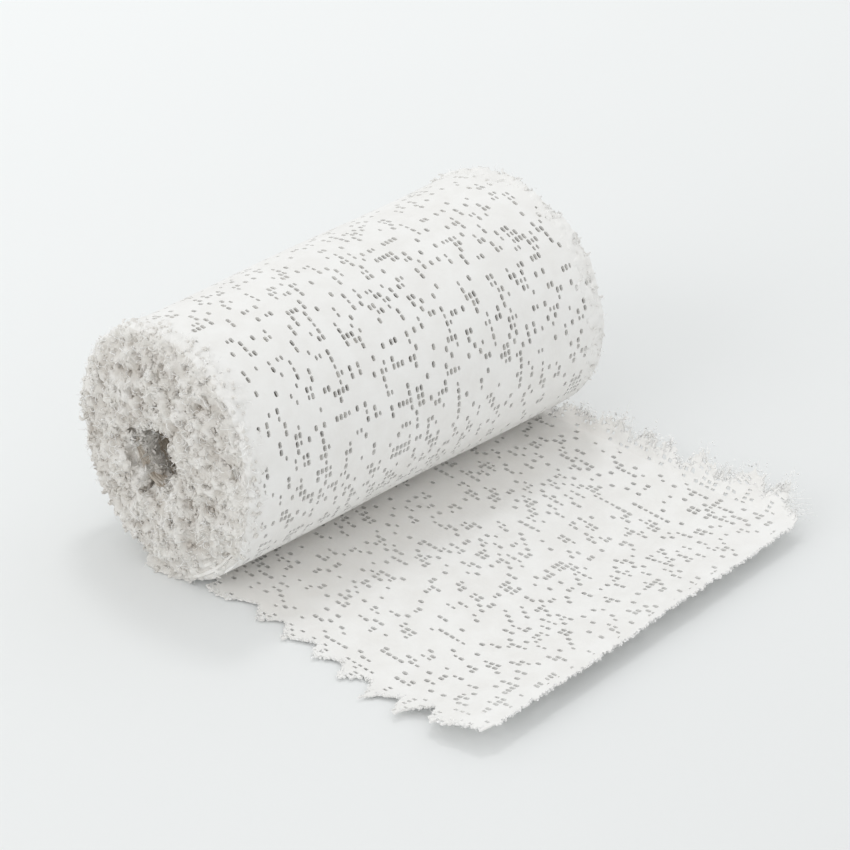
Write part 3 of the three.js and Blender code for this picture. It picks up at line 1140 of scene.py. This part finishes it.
def crust_rings(face):
    """share, depth, inset and roughness of each ring, from deep in the core to the closed back."""
    back = [(share, depth, BACK_INSET, 0.0) for share, depth in BACK]
    return wall_rings() + dome_rings(face) + collar_rings() + back


print("crust:", FIRST_OF_BACK + len(BACK), "rings of", CRUST_SIDES, "points")

# %% [markdown]
# A round mouth in an even dome looks turned on a lathe. On the real one the mouth opens wider
# towards the lower back, where the crust falls into it like a funnel, and a lip hangs over it at
# the upper front. The collar laps further over the cloth at some angles than at others.

# %% The crust before its lumps
MOUTH_SKEW = 0.065
MOUTH_OPENS_TO = math.radians(-60)
FUNNEL_DEPTH = 3.2
# How much painted shade the mouth's funnel gets.
FUNNEL_SHADE = 0.12
LIP_ANGLE = math.radians(140)
LIP_SPREAD = math.radians(26)
LIP_REACH = 0.075
LOOSE_DEPTH = 1.5
LOOSE_COLLAR_INSET = 0.75


def mouth_outline(angles, around, seed):
    mouth = 0.034 * waves_at(2.2 * around, 1.0, seed) + 0.02 * waves_at(9 * around, 1.0, seed)
    mouth += MOUTH_SKEW * np.cos(angles - MOUTH_OPENS_TO)
    mouth -= LIP_REACH * np.exp(-((angles - LIP_ANGLE) / LIP_SPREAD) ** 2)
    return mouth


def collar_lap(around, seed):
    lap = 1 + 0.8 * waves_at(7 * around, 1.0, seed + 1) + 0.5 * waves_at(23 * around, 1.0, seed)
    return np.clip(lap, 0.4, 1.6)


def smooth_crust(face, rings, angles):
    """The grid of points, how rough each one gets, and how much painted shade it gets in the mouth.
    """
    around = np.stack([np.cos(angles), np.sin(angles), 0 * angles], axis=1)
    mouth = mouth_outline(angles, around, face["seed"])
    lap = collar_lap(around, face["seed"])
    opening = np.clip(np.cos(angles - MOUTH_OPENS_TO), 0, 1)
    loose = loosened(angles)
    grid = []
    rough = []
    shaded = []
    for number, (share, depth, inset, roughness) in enumerate(rings):
        calm = loose * eased(share, *LOOSE_SHARES) * eased(depth, -1.5, 0.5)
        at_mouth = eased(share, 0.12, 0.0) * eased(depth, -9.0, -1.0)
        funnel = opening * eased(share, 0.15, MOUTH_SHARE) * eased(depth, -8.0, MOUTH_DEPTH)
        sunk = LOOSE_DEPTH * calm + FUNNEL_DEPTH * funnel
        collared = FIRST_OF_COLLAR <= number < FIRST_OF_BACK
        deep = depth * lap * (1 - 0.6 * loose) if collared else depth
        low = inset + (LOOSE_COLLAR_INSET * loose if collared else 0)
        grid.append(face_point(face, angles, share + mouth * at_mouth, deep - sunk, low))
        rough.append(roughness * (1 - 0.5 * calm))
        shaded.append(FUNNEL_SHADE * funnel)
    return np.stack(grid), np.stack(rough).ravel(), np.stack(shaded).ravel()


def outward_normals(grid, side):
    along = np.roll(grid, -1, axis=0) - np.roll(grid, 1, axis=0)
    around = np.roll(grid, -1, axis=1) - np.roll(grid, 1, axis=1)
    normals = np.cross(along, around)
    normals /= np.maximum(np.linalg.norm(normals, axis=-1, keepdims=True), 1e-9)
    middle = WALL_RINGS + DOME_RINGS // 2
    return normals * (np.sign(normals[middle, :, 0].mean()) * side)


# %% [markdown]
# A bump texture can't give a crumbled face, because its outline would stay smooth. So the grid
# itself is pushed out along its normals. Lumps of four sizes lie on each other, as plaster
# crumbles, with a wave through them and a few pits. Each point then strays a little in any
# direction, which makes the lumps overhang. The lower a place ends up, the more painted shade it
# gets.

# %% The lumps
LUMPS = [
    {"size": 6.0, "height": 0.9, "layer": 3},
    {"size": 3.0, "height": 0.55, "layer": 0},
    {"size": 1.35, "height": 0.5, "layer": 2},
    {"size": 0.7, "height": 0.25, "layer": 4},
]
WAVE_SIZE = 2.2
WAVE_HEIGHT = 0.55
PIT_SIZE = 1.8
PITS_ABOVE = 0.31
PIT_DEPTH = 4.2
STRAY_SIZE = 0.9
STRAY_REACH = 0.45
LOWEST_CRUST = 0.06
# How much painted shade a place gets, from how low it lies.
PAINTED_SHADE_AT_MIDDLE = 0.33
PAINTED_SHADE_A_MM = 0.50
PALE_RIM_SHARES = (0.80, 1.0)


def lump_heights(points, seed):
    height = np.zeros(len(points))
    for lump in LUMPS:
        height += lump["height"] * lumps_at(points, lump["size"], seed + lump["layer"])
    height += WAVE_HEIGHT * waves_at(points, WAVE_SIZE, seed + 5)
    pits = np.clip(waves_at(points, PIT_SIZE, seed + 6) - PITS_ABOVE, 0, None)
    height -= PIT_DEPTH * pits
    return height - np.median(height)


def pushed_out(grid, normals, height, rough, seed):
    flat = grid.reshape(-1, 3)
    pushed = flat + normals.reshape(-1, 3) * (height * rough)[:, None]
    strays = np.stack([waves_at(flat, STRAY_SIZE, seed + k) for k in (7, 8, 9)], axis=1)
    pushed += STRAY_REACH * strays * rough[:, None]
    pushed[:, 2] = np.maximum(pushed[:, 2], LOWEST_CRUST)
    return pushed


# Painted shade: the lower a place lies and the deeper in the mouth's funnel, the darker its colour;
# the rim stays pale.
def painted_shade_of_crust(face, shares, height, rough, shaded):
    painted_shade = np.clip(PAINTED_SHADE_AT_MIDDLE - PAINTED_SHADE_A_MM * height, 0, 1) * np.clip(rough * 1.4, 0, 1)
    painted_shade = np.clip(painted_shade + shaded, 0, 1)
    rim = 1 - face["pale_rim"] * eased(shares, *PALE_RIM_SHARES)
    return painted_shade * np.repeat(rim, CRUST_SIDES)


def fray_thickness(face, shares, angles):
    """1 where thread ends grow thickest. They thin out on the collar and on the loose turns."""
    fray = np.zeros((len(shares), CRUST_SIDES))
    fray[WALL_RINGS - 4:FIRST_OF_BACK - 2] = 1.0
    thinning = np.linspace(face["collar_fray"], 0.1, COLLAR_RINGS)
    fray[FIRST_OF_COLLAR:FIRST_OF_BACK - 1] = thinning[:, None]
    fray *= 1 - 0.6 * loosened(angles) * eased(shares, 0.55, 0.8)[:, None]
    return fray.ravel()


# %% The crust
def crust_finishes(mesh, count):
    """Thread ends on the dome, a mat of threads in the core, and plain plaster on the collar."""
    for finish in (frayed_plaster, core_wall_finish, plaster_cloth):
        mesh.materials.append(finish)
    kinds = [1] * (WALL_RINGS - 2) + [0] * (DOME_RINGS + 1)
    kinds += [2] * (count - len(kinds))
    mesh.polygons.foreach_set("material_index", np.repeat(kinds, CRUST_SIDES))


def crust_mesh(face):
    """The crumbled face in millimetres, with how thick it grows fray and how much painted shade it
    gets.
    """
    rings = crust_rings(face)
    shares = np.array([ring[0] for ring in rings])
    angles = np.linspace(0, FULL_TURN, CRUST_SIDES, endpoint=False)
    grid, rough, shaded = smooth_crust(face, rings, angles)
    normals = outward_normals(grid, face["side"])
    height = lump_heights(grid.reshape(-1, 3), face["seed"])
    pushed = pushed_out(grid, normals, height, rough, face["seed"])
    mesh = plain_mesh("crust", pushed, ring_faces(len(rings), CRUST_SIDES, closed=True))
    turn_outwards(mesh)
    point_values(mesh, FRAY_MAP, fray_thickness(face, shares, angles))
    point_values(mesh, PAINTED_SHADE_MAP, painted_shade_of_crust(face, shares, height, rough, shaded))
    crust_finishes(mesh, len(rings))
    return mesh


# %% [markdown]
# The cut edges of the turns are one long ribbon in a spiral, as the strip really lies. Only its
# outer turns can show, so only those are made. Its top is torn at three lengths, from a
# millimetre to a few centimetres, and it is wider where the turns have come apart.

# %% The spiral of cut edges
RIBBON_THICKNESS = 0.5
RIBBON_LOOSE_THICKNESS = 0.55
RIBBON_COLUMNS = 110
RIBBON_FOOT = -3.6
RIBBON_SINKS = 1.3
RIBBON_INSET = 0.9
RIBBON_PROFILE = [(1.6, 1.1), (0.4, 0.95), (0.0, 0.5)]
RIBBONS_FROM = 0.68
RIBBONS_TO = 0.985
WOUND_THICKNESS = 18.0


def ribbon_share(angle, turned):
    spread = 1 + 0.5 * loosened(angle)
    return np.clip(turned, 0.001, 1) ** spread


def evened(dice, count, columns, divisor):
    """Random steps along the ribbon, evened out over a few columns."""
    return np.convolve(dice.uniform(-1, 1, count), np.ones(columns) / divisor, "same")


def ribbon_side(face, angle, middle, offset, top):
    """One side of the ribbon, from its foot to its top."""
    levels = [(np.full_like(top, RIBBON_FOOT), 1.0)]
    levels += [(top - drop, width) for drop, width in RIBBON_PROFILE]
    side = []
    for depth, width in levels:
        share = np.clip(middle + offset * width, 0, 0.995)
        side.append(face_point(face, angle, share, depth, inset=RIBBON_INSET))
    return side


def cut_edges(name, face):
    dice = np.random.default_rng(face["seed"])
    count = round(TURNS * RIBBON_COLUMNS * (1 - RIBBONS_FROM))
    turned = np.linspace(RIBBONS_FROM, RIBBONS_TO, count)
    angle = turned * TURNS * FULL_TURN
    share = ribbon_share(angle, turned)
    calm = loosened(angle) * eased(share, *LOOSE_SHARES)
    rough = dice.uniform(-1, 1, count)
    soft = evened(dice, count, columns=7, divisor=2.6)
    wobble = evened(dice, count, columns=15, divisor=3.9) * 0.012
    torn = evened(dice, count, columns=31, divisor=5.6)
    top = dome_depth(face, share) - RIBBON_SINKS + 0.05 * calm
    top += 0.30 * rough + 0.45 * soft + 1.2 * torn
    half = 0.5 * (RIBBON_THICKNESS + RIBBON_LOOSE_THICKNESS * calm) / WOUND_THICKNESS
    going_up = ribbon_side(face, angle, share + wobble, -half, top)
    going_down = ribbon_side(face, angle, share + wobble, half, top)[::-1]
    loops = np.stack(going_up + going_down, axis=1)
    size = loops.shape[1]
    start = tuple(range(size))
    end = tuple(reversed(range((count - 1) * size, count * size)))
    polygons = [*ring_faces(count, size, closed=False), start, end]
    mesh = plain_mesh(name, loops.reshape(-1, 3) * MM, polygons)
    turn_outwards(mesh)
    mesh.materials.append(frayed_plaster)
    return finished_piece(name, mesh, "plaster_fray", face["node"])


# %% [markdown]
# The curls and the fluff are planted on copies of the crust while it is still in millimetres,
# because the trees' sizes are in millimetres too. The curls take the face's own finish, and the
# fluff is paler still. The crust itself is scaled to metres last.

# %% Dressing a face
CURL_LENGTHS = (0.5, 1.35)
CURL_UNTIDINESS = 1.1
FLUFF_LENGTHS = (0.6, 2.1)
FLUFF_UNTIDINESS = 1.0
FLUFF_PER_SQUARE_MM = 0.55


def scattered_piece(name, crust, shapes, density, lengths, untidiness, seed, finish):
    carrier = placed("crust_guide", crust.copy())
    shortest, longest = lengths
    return planted_piece(name, carrier, scattering, {
        "Shapes": shapes, "Density": density, "Shortest": shortest, "Longest": longest,
        "Untidiness": untidiness, "Seed": seed, "Material": finish})


def frayed_face(place):
    face = faces_of_roll[place]
    cut_edges(f"{place}_cut_edges", face)
    crust = crust_mesh(face)
    scattered_piece(f"{place}_curls_and_crumbs", crust, thick_curls, face["curls"],
                    CURL_LENGTHS, CURL_UNTIDINESS, face["seed"], face["finish"])
    scattered_piece(f"{place}_fluff", crust, fine_fluff, FLUFF_PER_SQUARE_MM,
                    FLUFF_LENGTHS, FLUFF_UNTIDINESS, face["seed"] + 1, pale_fluff)
    crust.transform(Matrix.Scale(MM, 4))
    finished_piece(f"{place}_crust", crust, "plaster_fray", face["node"])


frayed_face("near")
frayed_face("far")

# %% [markdown]
# ## Ragged edges
# The cloth's edges crumble. On the left, plaster has glued the thread ends into teeth: each one
# points back towards the roll, its short side faces the roll, and its long side runs down in an
# arc to the next root. On the right the edge has curled up and ends in see-through tips. The
# cut in front is only nibbled.
#
# Threads alone would look like a brush, because on the real one plaster has caught most of them.
# So all three are webs first: thin sheets of quarter-millimetre cells that carry on from the
# cloth, with gauze cells of the cloth's own size left open in them. A rule says which small
# cells are kept, and single threads are planted at the web's outline afterwards.

# %% The teeth
FIRST_ROOT = 2.9
PAST_THE_TEETH = 0.4
RISING_BEND = 0.9
FALLING_BEND = 1.7
teeth = [
    {"tip_y": -16.3, "tip": 3.0, "root_y": -21.7, "root": 0.3},
    {"tip_y": -26.0, "tip": 3.6, "root_y": -29.2, "root": 0.4},
    {"tip_y": -33.6, "tip": 4.6, "root_y": -38.9, "root": 1.2},
    {"tip_y": -41.9, "tip": 5.0, "root_y": -46.5, "root": 1.9},
    {"tip_y": -49.4, "tip": 6.0, "root_y": -54.3, "root": 2.0},
    {"tip_y": -57.2, "tip": 6.8, "root_y": -61.9, "root": 2.3},
    {"tip_y": -65.2, "tip": 7.2, "root_y": -68.9, "root": 1.4},
    {"tip_y": -72.4, "tip": 5.6, "root_y": -82.2, "root": 3.0},
]


def tooth_reach(y):
    """How far the left web stands out at a place along the edge."""
    reach = np.full_like(y, PAST_THE_TEETH)
    before_y = TAIL_ROOT_Y
    before = FIRST_ROOT
    for tooth in teeth:
        rising = (y <= before_y) & (y > tooth["tip_y"])
        share = np.clip((before_y - y) / (before_y - tooth["tip_y"]), 0, 1)
        rise = before + (tooth["tip"] - before) * share ** RISING_BEND
        reach = np.where(rising, rise, reach)
        falling = (y <= tooth["tip_y"]) & (y > tooth["root_y"])
        share = np.clip(1 - (tooth["tip_y"] - y) / (tooth["tip_y"] - tooth["root_y"]), 0, 1)
        fall = tooth["root"] + (tooth["tip"] - tooth["root"]) * share ** FALLING_BEND
        reach = np.where(falling, fall, reach)
        before_y = tooth["root_y"]
        before = tooth["root"]
    return reach


print(len(teeth), "teeth, the longest", max(tooth["tip"] for tooth in teeth), "mm")

# %% Which small cells a web keeps
SMALL_ACROSS = 4
SMALL_ALONG = 5
WEB_ACROSS = CELL_WIDTH / SMALL_ACROSS
WEB_ALONG = CELL_LENGTH / SMALL_ALONG
WEB_OVERLAP = SMALL_ACROSS * WEB_ACROSS


def nibbled(where, seed):
    """A random bite out of an edge, from crumbs to bites a millimetre long."""
    spot = Vector((where, 3.1 * seed, 0))
    return noise.noise(spot / 0.45) + 0.7 * noise.noise(spot / 1.3)


def gauze_hole(row, column, opened):
    """Whether a small cell lies in the middle of a gauze cell that is open."""
    in_hole = row % SMALL_ACROSS in (1, 2) and column % SMALL_ALONG in (1, 2, 3)
    return in_hole and opened[row // SMALL_ACROSS, column // SMALL_ALONG]


def kept_cells(out_cells, along_cells, reach_at, opened):
    wide = along_cells + 1
    polygons = []
    for row in range(out_cells):
        for column in range(along_cells):
            here = (row + 0.5) * WEB_ACROSS - WEB_OVERLAP
            there = (column + 0.5) * WEB_ALONG
            within = here < reach_at(there)
            if here < 0 or (within and not gauze_hole(row, column, opened)):
                corner = row * wide + column
                polygons.append((corner, corner + wide, corner + wide + 1, corner + 1))
    return polygons


print(f"web cells: {WEB_ACROSS:.3f} mm by {WEB_ALONG:.3f} mm")

# %% Webs and guides
WEB_THICKNESS = 0.36
WEB_JITTER = 0.07
WEB_TUCK = 0.02


def without_loose_points(mesh):
    """Drops the points that no kept cell uses, and turns the sheet's faces up."""
    sheet = bmesh.new()
    sheet.from_mesh(mesh)
    loose = [point for point in sheet.verts if not point.link_faces]
    bmesh.ops.delete(sheet, geom=loose, context="VERTS")
    bmesh.ops.recalc_face_normals(sheet, faces=sheet.faces)
    if sum(face.normal.z for face in sheet.faces) < 0:
        bmesh.ops.reverse_faces(sheet, faces=sheet.faces)
    sheet.to_mesh(mesh)
    sheet.free()


def web_mesh(name, out_cells, length, reach_at, place_at, seed, open_share, shade_share=0.0):
    """A thin sheet of small cells as far out as reach_at says, its outline crumbled."""
    dice = np.random.default_rng(seed)
    along_cells = round(length / WEB_ALONG)
    gauze_cells = (out_cells // SMALL_ACROSS + 1, along_cells // SMALL_ALONG + 1)
    opened = dice.uniform(size=gauze_cells) < open_share
    wide = along_cells + 1
    out = np.repeat(np.arange(out_cells + 1), wide) * WEB_ACROSS - WEB_OVERLAP
    along = np.tile(np.arange(wide), out_cells + 1) * WEB_ALONG
    jitter = dice.uniform(-WEB_JITTER, WEB_JITTER, (2, len(out)))
    points = place_at(out + jitter[0], along + jitter[1])
    points[:, 2] -= np.where(out < -0.01, WEB_TUCK, 0)
    web = mesh_object(name, points * MM, kept_cells(out_cells, along_cells, reach_at, opened))
    map_strip(web.data, out, along)
    without_loose_points(web.data)
    add_wall(web, WEB_THICKNESS * MM)
    mesh = taken_mesh(web)
    mesh.materials.append(plaster_cloth)
    # Painted shade next to the roll, plus any extra that the web asks for.
    paint_shade_near_roll(mesh, shade_share)
    return mesh


def guide_points(name, rows):
    """rows are (place, lean, reach): where a thread is rooted, where it points, how long it is."""
    guide = mesh_object(name, [row[0] for row in rows], [])
    lean = guide.data.attributes.new(LEAN_MAP, "FLOAT_VECTOR", "POINT")
    lean.data.foreach_set("vector", np.array([row[1] for row in rows], np.float32).ravel())
    point_values(guide.data, REACH_MAP, [row[2] for row in rows])
    return guide


# %% [markdown]
# The teeth lean back towards the roll, so the web leans as a whole and its outline does the
# rest. Near the roll and near the cut they hang a trace lower than the cloth that holds them,
# but their tops never lie lower than half a millimetre.

# %% The left fringe
LEFT_LENGTH = TAIL_ROOT_Y - TAIL_LEFT_END_Y
LEFT_OUT_CELLS = 36
LEFT_OPEN_SHARE = 0.24
LEFT_LEANS_BACK = 0.25
LEFT_THREADS = 150
TEETH_LIE_AT = 0.5
TEETH_HANG_AT_CUT = 0.12
TEETH_HANG_AT_ROLL = 0.05


def left_web_place(out, along):
    out = np.asarray(out, float)
    y = TAIL_ROOT_Y - along
    share = np.clip(along / LEFT_LENGTH, 0, 1)
    lift = lift_at(0.0, share) + TAIL_REST + CLOTH_THICKNESS
    beyond = np.clip(out, 0, None)
    at_cut = TEETH_HANG_AT_CUT * eased(share, 0.7, 0.93)
    at_roll = TEETH_HANG_AT_ROLL * eased(share, 0.5, 0.2)
    height = np.maximum(lift - (at_cut + at_roll) * beyond, TEETH_LIE_AT)
    return np.stack([LEFT_EDGE_LOW - out, y + LEFT_LEANS_BACK * beyond, height], axis=-1)


def left_reach(along):
    reach = float(tooth_reach(np.array(TAIL_ROOT_Y - along)))
    return reach + nibbled(along, 1) * (0.35 + 0.20 * reach)


def left_fringe():
    mesh = web_mesh("left_fringe_web", LEFT_OUT_CELLS, LEFT_LENGTH, left_reach,
                    left_web_place, seed=71, open_share=LEFT_OPEN_SHARE)
    return finished_piece("left_fringe_web", mesh, "plaster_fray", "fringe_left")


def left_threads():
    dice = random.Random(83)
    rows = []
    for _ in range(LEFT_THREADS):
        along = dice.uniform(0, LEFT_LENGTH)
        out = left_reach(along) * (1 - 0.3 * dice.random() ** 2)
        place = left_web_place(out, along)
        lean = (-1, dice.uniform(-0.4, 1.3), dice.uniform(-0.15, 0.3))
        rows.append((place, lean, dice.uniform(0.4, 1.3)))
    guide = guide_points("left_thread_guide", rows)
    return planted_piece("left_fringe_threads", guide, guided, {
        "Shapes": spiky_threads, "Seed": 17, "Material": pale_fluff})


left_fringe()
left_threads()

# %% [markdown]
# The right edge stands up from the table in a curl that is steepest in the middle, and half of
# its gauze cells are open. It is broadest just before the front corner, where the tips are
# longest and fan out forwards. Tips stand in tufts, as neighbours that the same drop of plaster
# caught, so a tuft is drawn first and its tips around it.

# %% The right web
RIGHT_LENGTH = TAIL_ROOT_Y - TAIL_RIGHT_END_Y
RIGHT_OUT_CELLS = 46
RIGHT_OPEN_SHARE = 0.5
RIGHT_BAND = 4.6
RIGHT_RISE = math.radians(42)
RIGHT_RISES_WITHIN = (-0.1, 0.3)
RIGHT_SINKS_WITHIN = (0.5, 1)
RIGHT_SINKS_BY = 0.72
RIGHT_LEANS_BACK = 0.2
RIGHT_BROADENS_WITHIN = (0.55, 0.88)
RIGHT_BROADENS_BY = 0.95
RIGHT_CORNER = 4.5
RIGHT_CORNER_NARROWS_BY = 0.75


def right_web_place(out, along):
    out = np.asarray(out, float)
    y = TAIL_ROOT_Y - along
    share = np.clip(along / RIGHT_LENGTH, 0, 1)
    lift = lift_at(1.0, share) + TAIL_REST + CLOTH_THICKNESS
    beyond = np.clip(out, 0, None)
    sunk = 1 - RIGHT_SINKS_BY * eased(share, *RIGHT_SINKS_WITHIN)
    rise = math.tan(RIGHT_RISE) * eased(share, *RIGHT_RISES_WITHIN) * sunk
    up = beyond * rise * (1 + 0.25 * np.sin(0.7 * y)) * eased(beyond, -0.5, 2.0)
    x = TAIL_RIGHT_X + out + 0.2 * np.sin(0.8 * y) * eased(beyond, 0, 1)
    return np.stack([x, y + RIGHT_LEANS_BACK * beyond, lift + up], axis=-1)


def right_reach(along):
    clump = 0.5 + 0.5 * math.sin(0.75 * along + 1.5 * math.sin(0.2 * along))
    broader = 1 + RIGHT_BROADENS_BY * eased(along / RIGHT_LENGTH, *RIGHT_BROADENS_WITHIN)
    corner = eased(along, RIGHT_LENGTH - RIGHT_CORNER, RIGHT_LENGTH)
    broader *= 1 - RIGHT_CORNER_NARROWS_BY * corner
    return RIGHT_BAND * broader * (0.5 + 0.4 * clump) + 1.5 * nibbled(along, 2)


def right_fringe():
    # The curled band gets a little painted shade all over.
    mesh = web_mesh("right_fringe_web", RIGHT_OUT_CELLS, RIGHT_LENGTH, right_reach,
                    right_web_place, seed=72, open_share=RIGHT_OPEN_SHARE, shade_share=0.05)
    return finished_piece("right_fringe_web", mesh, "plaster_fray", "fringe_right")


right_fringe()

# %% The right tips
RIGHT_THREADS = 560
TUFT_SPREAD = 0.69
TALLER_BEFORE_CORNER = 2.6
FORWARD_AT_CORNER = 1.2
FLATTER_BEFORE_CORNER = 0.5


def tuft_at(dice):
    """Where a tuft stands, how tall its tallest tip is, and how far it leans back and up."""
    tuft = dice.uniform(0.5, RIGHT_LENGTH)
    share = tuft / RIGHT_LENGTH
    tallest = dice.uniform(1.2, 5.0) + TALLER_BEFORE_CORNER * eased(share, 0.65, 0.97)
    lean_y = dice.uniform(-0.5, 0.8) - FORWARD_AT_CORNER * eased(share, 0.78, 1.0)
    lean_z = dice.uniform(0.0, 1.1) * (1 - FLATTER_BEFORE_CORNER * eased(share, 0.6, 0.95))
    return tuft, tallest, lean_y, lean_z


def right_threads():
    dice = random.Random(84)
    rows = []
    while len(rows) < RIGHT_THREADS:
        tuft, tallest, lean_y, lean_z = tuft_at(dice)
        for _ in range(dice.randint(3, 12)):
            along = min(max(dice.gauss(tuft, TUFT_SPREAD), 0.3), RIGHT_LENGTH)
            place = right_web_place(right_reach(along) * dice.uniform(0.6, 1.0), along)
            lean = (1, lean_y + dice.uniform(-0.5, 0.5), lean_z + dice.uniform(-0.3, 0.3))
            rows.append((place, lean, tallest * dice.uniform(0.35, 1.0)))
    guide = guide_points("right_thread_guide", rows)
    return planted_piece("right_fringe_threads", guide, guided, {
        "Shapes": spiky_threads, "Seed": 18, "Material": pale_fluff})


right_threads()

# %% [markdown]
# The cut has no fringe: scissors went through plaster and thread together. It gets a narrow
# nibbled web with no open cells. Crumbs then lie along all three edges, the furthest out on the
# right, where they cling to the tips. The loose end's own cloth is laid last.

# %% The cut edge
TAIL_WIDTH = TAIL_RIGHT_X - LEFT_EDGE_LOW
CUT_OUT_CELLS = 9


def cut_web_place(out, along):
    out = np.asarray(out, float)
    across = np.clip(along / TAIL_WIDTH, 0, 1)
    point = tail_point(across, 1.0, CLOTH_THICKNESS)
    point[..., 0] = LEFT_EDGE_LOW + along
    point[..., 1] -= out
    return point


def cut_reach(along):
    return 0.35 + 0.55 * nibbled(along, 3)


def cut_edge():
    mesh = web_mesh("cut_edge_web", CUT_OUT_CELLS, TAIL_WIDTH, cut_reach, cut_web_place,
                    seed=73, open_share=0.0)
    return finished_piece("cut_edge_web", mesh, "plaster_cloth")


cut_edge()

# %% The crumbs on all three edges
CRUMBS_SINK = 0.15
crumbed_edges = [
    {"count": 300, "length": TAIL_WIDTH, "reach_at": cut_reach,
     "place_at": cut_web_place, "furthest": 1.05},
    {"count": 120, "length": LEFT_LENGTH, "reach_at": left_reach,
     "place_at": left_web_place, "furthest": 1.05},
    {"count": 380, "length": RIGHT_LENGTH, "reach_at": right_reach,
     "place_at": right_web_place, "furthest": 1.45},
]


def edge_crumbs():
    dice = random.Random(85)
    rows = []
    for edge in crumbed_edges:
        for _ in range(edge["count"]):
            along = dice.uniform(0.2, edge["length"] - 0.2)
            out = edge["reach_at"](along) * dice.uniform(0.6, edge["furthest"])
            place = edge["place_at"](out, along) - (0, 0, CRUMBS_SINK)
            lean = (dice.uniform(-1, 1), dice.uniform(-1, 1), 1.0)
            rows.append((place, lean, dice.uniform(0.5, 1.4)))
    guide = guide_points("crumb_guide", rows)
    return planted_piece("edge_crumbs", guide, guided, {
        "Shapes": fine_crumbs, "Seed": 19, "Material": pale_fluff})


edge_crumbs()
lay_loose_end()

# %% Clearing the workbench
helpers = [*tiles.values()]
for group in (thick_curls, fine_fluff, spiky_threads, fine_crumbs):
    helpers += list(group.objects)
    bpy.data.collections.remove(group)
for helper in helpers:
    bpy.data.objects.remove(helper)
print("helpers removed:", len(helpers))

# %% [markdown]
# ## Floor and light
# The roll lies on a pale plain surface, painted a trace greyer towards the front as painted
# shade where the light falls off. Most of the light is a soft sky, so shadows are wide and faint.
# A small key lamp above and a little behind, on the right, makes the top nearly as white as the
# surface. A wide fill lamp on the left opens the shade of the near end. Places and sizes here are
# in metres, Blender's own unit.

# %% The floor
FLOOR_HALF = 3.0
TABLE_FRONT = -0.24
TABLE_BACK = 0.26
TABLE_PATCHES = 3
TABLE_WHITE = ((0.915, 0.93, 0.93), (0.925, 0.94, 0.94))
# Painted shade: the table's colour greys towards the front, where the light falls off.
TABLE_PAINTED_SHADE = ((0.77, 0.78, 0.78), (0.78, 0.79, 0.79))


# Mixes from painted shade at the front to white at the back.
def table_colour(tree, where):
    back_and_front = node(tree, "ShaderNodeSeparateXYZ", {"Vector": where}).outputs["Y"]
    share = node(tree, "ShaderNodeMapRange", {
        "Value": back_and_front, "From Min": TABLE_FRONT, "From Max": TABLE_BACK})
    white = mottled_colour(tree, where, *TABLE_WHITE, scale=TABLE_PATCHES)
    grey = mottled_colour(tree, where, *TABLE_PAINTED_SHADE, scale=TABLE_PATCHES)
    return mixed_colour(tree, share.outputs["Result"], grey, white)


def lay_floor():
    corners = [(-FLOOR_HALF, -FLOOR_HALF, 0), (FLOOR_HALF, -FLOOR_HALF, 0),
               (FLOOR_HALF, FLOOR_HALF, 0), (-FLOOR_HALF, FLOOR_HALF, 0)]
    floor = mesh_object("floor", corners, [(0, 1, 2, 3)])
    finish = matt_material(
        "pale_table", table_colour,
        lambda tree, where: powder_height(tree, where, grain=700, lump=40),
        bump_strength=0.02, bump_distance=0.0002, roughness=(0.7, 0.9))
    floor.data.materials.append(finish)


lay_floor()

# %% The lights
SKY_COLOUR = (0.99, 1.0, 1.0, 1)
SKY_STRENGTH = 0.855
KEY_PLACE = Vector((0.45, 0.35, 1.6))
KEY_SIZE = 0.3
KEY_POWER = 3.0
FILL_PLACE = Vector((-1.4, 0.2, 0.7))
FILL_SIZE = 1.0
FILL_POWER = 4.3


def soft_sky():
    world = bpy.data.worlds.new("studio")
    world.use_nodes = True
    background = world.node_tree.nodes["Background"]
    background.inputs["Color"].default_value = SKY_COLOUR
    background.inputs["Strength"].default_value = SKY_STRENGTH
    return world


def soft_light(name, place, size, power):
    data = bpy.data.lights.new(name, "AREA")
    data.size = size
    data.energy = power
    lamp = bpy.data.objects.new(name, data)
    lamp.location = place
    lamp.rotation_euler = (-place).to_track_quat("-Z", "Y").to_euler()
    bpy.context.scene.collection.objects.link(lamp)
    print(name, "at", tuple(round(c, 2) for c in place))


bpy.context.scene.world = soft_sky()
soft_light("key_from_behind", KEY_PLACE, KEY_SIZE, KEY_POWER)
soft_light("fill_from_the_left", FILL_PLACE, FILL_SIZE, FILL_POWER)
bpy.context.scene.view_settings.view_transform = "Standard"
